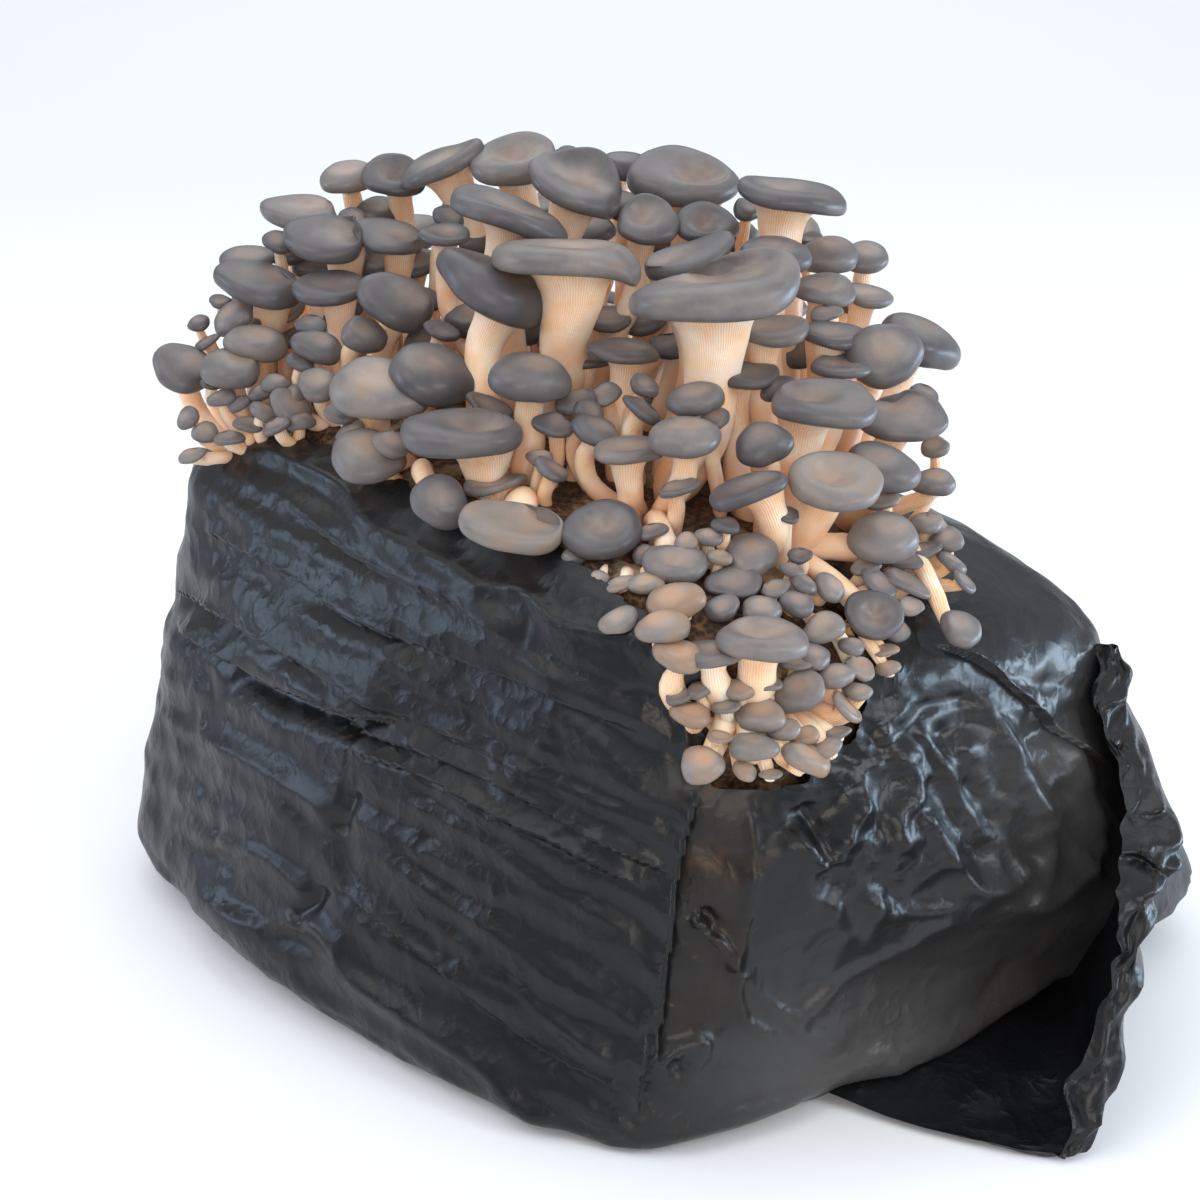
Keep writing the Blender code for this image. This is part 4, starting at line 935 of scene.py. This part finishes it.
# Stems: half width for the cap's width (mm), and where they are stouter; then shares of their length
STEM_GIRTH = ((8, 18, 50), (0.46, 0.38, 0.29))
STOUT = {"corner": 1.35, "right": 1.10}
ROOT_SUNK = 4.0 * MM
FOOT_SHARE, FOOT_LEAST = 0.12, 0.1
BEND_SHARE, LEAN_SHARE, SWAY_SHARE = 0.45, 0.05, 0.10
# A stem starts straight out of the loaf where it is level, and upright where it rises this much
UPRIGHT_RISE = (0.15, 0.75)
# The flare under the cap (in half widths), and how uneven and how oval the stem is (in its own width)
FLARE, SWELLING, OVAL = 0.55, 0.10, 0.07
# How far apart gills are, on a ring this much wider than the neck
GILL_PITCH, GILL_RING = 0.95 * MM, 1.15

# A cap's flare keeps its thickness below this height, and its margin is free to wave between these radii
THICK_BELOW, FREE_RADIUS = -0.25, (0.40, 0.95)
# Waves of a cap: how many go round, and how large they are (in half widths); then a kidney-shaped one's notch
OUTLINE_WAVES = ((2, 0.050), (3, 0.035), (7, 0.010))
LIFT_WAVES = ((2, 0.035), (3, 0.020))
LOPSIDED = 0.12
NOTCH_DEPTH, NOTCH_SPREAD, NOTCH_LIFT = 0.36, 0.55, 0.10

# A cap's tone, from dark (0) to pale: by its row in the frame (px), paler with its distance behind as painted
# light for the back caps that those in front shade, and by chance; the buttons at the left of the near corner
# are browner
TONE_DOWN = ((160, 400, 520, 650, 760), (0.26, 0.40, 0.54, 0.62, 0.80))
TONE_BACK_PAINTED_LIGHT, TONE_CHANCE = 0.0011, 0.12
BROWNER, BROWNER_LEFT, BROWNER_DOWN = 0.18, (760, 620), (540, 600)


def cap_profile(form):
    """Radius, height and place of each ring of a cap."""
    under = "round" if form == "round" else "flat"
    top = "flat" if form == "kidney" else form
    rings = []
    for part, start, end in ((UNDER[under], 1.0, EDGE_UNDER), (MARGIN[under], EDGE_UNDER, EDGE_OVER),
                             (TOP[top], EDGE_OVER, CAP_MIDDLE)):
        reached = np.linspace(start, end, len(part), endpoint=end == CAP_MIDDLE)
        rings += [(r, h, place) for (r, h), place in zip(part, reached)]
    return rings


def sight(row, ground):
    """The place of a cap: so far along the line of its pixel, or nearer where the loaf is in the way."""
    across_px, down_px, back_mm, width_mm = row[:4]
    line = (FORWARD + RIGHTWARD * ((across_px - CENTRE_PX) / FOCAL_PX)
            - UPRIGHT * ((down_px - CENTRE_PX) / FOCAL_PX))
    depth = CORNER_DEPTH + back_mm * MM
    reached = ground.ray_cast(EYE, line.normalized())[3]
    if reached is not None and back_mm < HIDDEN_BACK_MM:
        depth = min(depth, reached / line.length - CLEAR_SHARE * width_mm * MM)
    return EYE + line * depth


def cap_axis(down_px, width, shown, roll):
    """The way a cap faces: one that shows more of its top nods to the viewer."""
    slope = min(max((abs(shown) / width - EDGE_ON) / FACE_ON, LEAST_SLOPE), MOST_SLOPE)
    below = PITCH + atan2(down_px - CENTRE_PX, FOCAL_PX)
    nod = asin(slope) - below if shown > 0 else -asin(slope)
    tilt = radians(roll)
    return (UPWARD * cos(nod) * cos(tilt) - ONWARD * sin(nod) + RIGHTWARD * sin(tilt)).normalized()


def chance_shape(form, rng):
    """The stem's place and the lifted parts of a cap that the photograph doesn't show well."""
    if form == "kidney":
        toward, off = pi / 2 + rng.normal() * KIDNEY_TURN, KIDNEY_OFF
    else:
        toward, off = rng.uniform(0, 2 * pi), rng.uniform(*CHANCE_OFF)
    lifts = [(rng.uniform(0, 360), rng.uniform(*CHANCE_SPREAD), rng.normal() * CHANCE_LIFT) for _ in range(2)]
    return off * cos(toward), off * sin(toward), lifts


def waves(turn, parts, rng):
    """Waves round a cap, each from a place of its own."""
    return sum(size * np.cos(count * turn + rng.uniform(0, 6)) for count, size in parts)


def spun_mushroom(bm, layers, form, number, sides, stem_rings):
    """Adds a straight mushroom: its stem from 0 to 1 up, its cap of half width 1 above that."""
    along, which = layers
    rings = [(0.0, 0.0, 0.0)] + [(1.0, share, share) for share in np.linspace(0.0, 1.0, stem_rings)[:-1]]
    rings += [(r, 1.0 + NECK_BELOW + h, v) for r, h, v in cap_profile(form)]
    before = set(bm.verts)
    profile = []
    for radius, height, place in rings:
        vert = bm.verts.new((radius, 0.0, height))
        vert[along] = place
        profile.append(vert)
    edges = [bm.edges.new(pair) for pair in zip(profile, profile[1:])]
    bmesh.ops.spin(bm, geom=profile + edges, cent=(0, 0, 0), axis=(0, 0, 1), angle=2 * pi, steps=sides,
                   use_merge=True)
    poles = [v for v in bm.verts if v not in before and abs(v.co.x) < TOUCHING and abs(v.co.y) < TOUCHING]
    bmesh.ops.remove_doubles(bm, verts=poles, dist=TOUCHING)
    for vert in bm.verts:
        if vert not in before:
            vert[which] = number


def shaped(straight, along, row, shape, spread, ground, rng):
    """Bends a straight mushroom from its crown up to its cap's place, and gives the cap its own waves."""
    _, down_px, _, width_mm, shown_mm, roll, crown, form = row
    half = width_mm * MM / 2
    small = width_mm <= SMALLEST_MM
    centre = sight(row, ground)
    if small:
        roll = roll + rng.normal() * SMALL_LEAN
    axis = cap_axis(down_px, width_mm, shown_mm, roll)
    wide = (RIGHTWARD - axis * RIGHTWARD.dot(axis)).normalized()
    deep = axis.cross(wide)
    off_x, off_y, lifts = shape or chance_shape(form, rng)
    off_angle = atan2(off_y, off_x)
    off_x, off_y = off_x * half, off_y * half

    start = Vector(CROWNS[crown])
    reach = Vector((centre.x - start.x, centre.y - start.y, 0.0)) * spread
    root, normal = ground.find_nearest(start + reach)[:2]
    root = root - normal * ROOT_SUNK
    neck = centre - axis * (NECK_BELOW * half) + wide * off_x + deep * off_y
    rise = (neck - root).length
    under = neck - axis * rise * BEND_SHARE + RIGHTWARD * rng.normal() * rise * LEAN_SHARE
    bend = (root + normal * rise * BEND_SHARE).lerp(under, float(smooth(*UPRIGHT_RISE, (neck - root).z / rise)))

    # Stem: thick for its height, swelling to the neck, and never quite round or straight
    x, y, z = straight.T
    turn, radius = np.arctan2(y, x), np.hypot(x, y)
    out = np.zeros_like(straight)
    stem = along < 1.0
    share = along[stem]
    thick = half * float(np.interp(width_mm, *STEM_GIRTH)) * STOUT.get(crown, 1.0)
    neck_radius = half * cap_profile(form)[0][0]
    girth = thick + (neck_radius - thick) * np.exp(-(1 - share) * rise / (FLARE * half))
    girth *= 1 + SWELLING * np.sin(share * pi * rng.uniform(1.0, 2.5) + rng.uniform(0, 6)) * (1 - share)
    girth *= 1 + OVAL * np.cos(2 * turn[stem] + rng.uniform(0, 6)) * (1 - share ** 6)
    girth *= radius[stem] * np.sqrt(np.clip(share / FOOT_SHARE, FOOT_LEAST, 1.0))
    spot = (np.outer((1 - share) ** 2, root) + np.outer(2 * share * (1 - share), bend)
            + np.outer(share ** 2, neck))
    sway = share * (1 - share) * np.sin(share * 2 * pi + rng.uniform(0, 6)) * rise * SWAY_SHARE
    spot += np.outer(sway, RIGHTWARD)
    way = np.outer(1 - share, bend - root) + np.outer(share, neck - bend)
    way /= np.maximum(np.linalg.norm(way, axis=1, keepdims=True), 1e-9)
    side = np.array(wide) - way * (way @ np.array(wide))[:, None]
    side /= np.linalg.norm(side, axis=1, keepdims=True)
    out[stem] = (spot + side * (girth * np.cos(turn[stem]))[:, None]
                 + np.cross(way, side) * (girth * np.sin(turn[stem]))[:, None])

    # Cap: its outline, its lifted and hanging parts, and a notch behind the stem of a kidney-shaped one
    cap = ~stem
    t, r, h = turn[cap], radius[cap], z[cap] - 1.0 - NECK_BELOW
    thin = CAP_THICK[form]
    h = h * (thin + (1 - thin) * smooth(THICK_BELOW, -NECK_BELOW, h))
    grow = smooth(*FREE_RADIUS, r)

    def round_to(angle, spread):
        gap = (t - angle + pi) % (2 * pi) - pi
        return np.exp(-(gap / spread) ** 2)

    notch = round_to(off_angle, NOTCH_SPREAD) if form == "kidney" else 0.0
    outline = 1 + (SMALL_UNEVEN if small else 1.0) * waves(t, OUTLINE_WAVES, rng) - NOTCH_DEPTH * notch
    lift = waves(t, LIFT_WAVES, rng) + NOTCH_LIFT * notch
    for angle, spread, height in lifts:
        lift = lift + height * round_to(radians(angle), radians(spread))
    h = h * (1 + LOPSIDED * np.cos(t + rng.uniform(0, 6)) * grow) + lift * r ** 2 * grow
    r = r * (1 + grow * (outline - 1))
    cx = r * np.cos(t) * half + off_x * (1 - grow)
    cy = r * np.sin(t) * half * CAP_DEPTH[form] + off_y * (1 - grow)
    out[cap] = np.array(centre) + np.outer(h * half, axis) + np.outer(cx, wide) + np.outer(cy, deep)
    growth = np.stack([np.cos(turn), np.sin(turn), along], axis=1)
    return out, growth, round(2 * pi * neck_radius * GILL_RING / GILL_PITCH)


def mushroom_piece(name, rows, ground, material, seed):
    """One piece of one or more mushrooms. Each has its row, its cap's shape, its cuts and its root's spread."""
    bm = bmesh.new()
    layers = bm.verts.layers.float.new("along"), bm.verts.layers.int.new("which")
    for number, (row, _, cuts, _) in enumerate(rows):
        spun_mushroom(bm, layers, row[7], number, *cuts)
    bmesh.ops.recalc_face_normals(bm, faces=bm.faces)
    for face in bm.faces:
        face.smooth = True
    mesh = bpy.data.meshes.new(name)
    bm.to_mesh(mesh)
    bm.free()
    along = np.empty(len(mesh.vertices))
    mesh.attributes["along"].data.foreach_get("value", along)
    which = np.empty(len(mesh.vertices), dtype=np.int32)
    mesh.attributes["which"].data.foreach_get("value", which)
    straight = places(mesh)
    out, growth = np.zeros_like(straight), np.zeros_like(straight)
    gills, tone = np.zeros(len(straight)), np.zeros(len(straight))
    for number, (row, shape, _, spread) in enumerate(rows):
        rng = np.random.default_rng(seed * 1000 + number)
        mine = which == number
        bent = shaped(straight[mine], along[mine], row, shape, spread, ground, rng)
        out[mine], growth[mine], gills[mine] = bent
        across_px, down_px, back_mm = row[:3]
        browner = BROWNER * smooth(*BROWNER_LEFT, across_px) * smooth(*BROWNER_DOWN, down_px)
        # Paler the farther back: painted light for caps shaded by those in front
        tone[mine] = np.interp(down_px, *TONE_DOWN) + browner + TONE_BACK_PAINTED_LIGHT * back_mm + rng.normal() * TONE_CHANCE
    move_to(mesh, out)
    note(mesh, "growth", 'FLOAT_VECTOR', growth)
    note(mesh, "gills", 'FLOAT', gills)
    note(mesh, "tone", 'FLOAT', tone)
    return placed(name, mesh, material)


def finished(piece, slot_name, *nodes):
    """Puts a piece on the root body and hides the CAD nodes that it stands for; its slot name is not used."""
    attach(piece, "root")
    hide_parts(*nodes)


def placed(name, mesh, material):
    mesh.materials.append(material)
    made = bpy.data.objects.new(name, mesh)
    bpy.context.scene.collection.objects.link(made)
    return made


# The camera, the floor and the light

SENSOR_MM = 36.0
TABLE_HALF = 25.0
# The sky: its colour, and its strength at the horizon and overhead
SKY_COLOUR = (0.93, 0.965, 1.0, 1.0)
SKY_LOW, SKY_HIGH = 0.22, 1.15
# Soft boxes: place, what they face, size (m), power (W) and colour
SOFTBOXES = {
    "over": ((-0.95, 0.25, 1.45), (0, 0, 0.15), (1.1, 1.1), 7.0, (1.0, 0.97, 0.94)),
    "behind": ((3.1, 3.0, 4.2), (3.1, 3.0, 0), (6.0, 6.0), 105.0, (0.97, 0.98, 1.0)),
    "left": ((-1.15, 1.15, 0.55), (-0.14, 0, 0.12), (0.9, 0.5), 7.0, (0.60, 0.77, 1.0)),
    "front": ((-1.20, -1.30, 0.62), (-0.05, -0.05, 0.16), (0.9, 0.7), 9.5, (1.0, 0.90, 0.79)),
    "right": ((0.25, -1.45, 1.0), (0, -0.1, 0.12), (0.7, 0.6), 9.0, (0.90, 0.95, 1.0)),
    "window": ((1.30, -1.25, 0.22), (0, -0.14, 0.10), (1.3, 0.40), 24.0, (0.62, 0.81, 1.0)),
}


def stand(name, data, place, turn):
    """Puts a camera or a lamp in its place."""
    made = bpy.data.objects.new(name, data)
    made.matrix_world = Matrix.Translation(place) @ turn.to_4x4()
    bpy.context.scene.collection.objects.link(made)
    return made


def set_camera():
    data = bpy.data.cameras.new("camera")
    data.sensor_width = SENSOR_MM
    data.lens = FOCAL_PX / FRAME_PX * SENSOR_MM
    turn = Matrix((RIGHTWARD, UPRIGHT, -FORWARD)).transposed()
    bpy.context.scene.camera = stand("camera", data, EYE, turn)


def set_floor(material):
    bm = bmesh.new()
    bmesh.ops.create_grid(bm, x_segments=1, y_segments=1, size=TABLE_HALF)
    mesh = bpy.data.meshes.new("table_top")
    bm.to_mesh(mesh)
    bm.free()
    placed("table_top", mesh, material)


def set_light():
    """A pale sky that is dimmer near the horizon, and six soft boxes."""
    world = bpy.data.worlds.new("studio")
    bpy.context.scene.world = world
    world.use_nodes = True
    sky = world.node_tree.nodes["Background"]
    sky.inputs["Color"].default_value = SKY_COLOUR
    way = add(world, "TexCoord", out="Generated")
    height = add(world, "SeparateXYZ", {0: way}, out="Z")
    feed(sky, {"Strength": add(world, "MapRange", {"Value": height}, in_3=SKY_LOW, in_4=SKY_HIGH)})
    for name, (place, target, size, power, colour) in SOFTBOXES.items():
        data = bpy.data.lights.new(name, 'AREA')
        data.shape = 'RECTANGLE'
        data.size, data.size_y = size
        data.energy = power
        data.color = colour
        stand(name, data, place, (Vector(target) - Vector(place)).to_track_quat('-Z', 'Y').to_matrix())
    bpy.context.scene.view_settings.view_transform = 'Standard'


set_camera()
set_light()
set_floor(pale_table())

flesh = mushroom_skin()
block_solid = bpy.data.objects["substrate_block"]
solid = bmesh.new()
solid.from_mesh(block_solid.data)
solid.transform(block_solid.matrix_world)
ground = BVHTree.FromBMesh(solid)
solid.free()

finished(placed("bag_film", film_mesh(), bag_film()), "film", "bag")
finished(placed("sawdust_block", block_mesh(), grown_sawdust()), "sawdust", "substrate_block")

seed = FIRST_SEED
for side, rows in LARGE.items():
    for number, row in enumerate(rows, 1):
        name = f"mushroom_{side}_{number}"
        alone = [(row, SHAPES.get(f"{side}_{number}"), LARGE_CUT, ROOT_SPREAD)]
        finished(mushroom_piece("grown_" + name, alone, ground, flesh, seed), "mushroom", name)
        seed += 1

for seed, crown in enumerate(CROWNS, BUNCH_SEED):
    rows = [((*row, crown, form), None, SMALL_CUT, ROOT_SPREAD) for *row, form in SMALL.get(crown, [])]
    for across_px, down_px, back, width, roll in TINY.get(crown, []):
        shown = width * TINY_SHOWN[across_px % 3]
        row = (across_px, down_px, back, width, shown, roll, crown, TINY_FORMS[(across_px + down_px) % 4])
        rows.append((row, None, TINY_CUT, TINY_SPREAD))
    name = "bunch_" + crown
    finished(mushroom_piece("grown_" + name, rows, ground, flesh, seed), "mushroom", name)
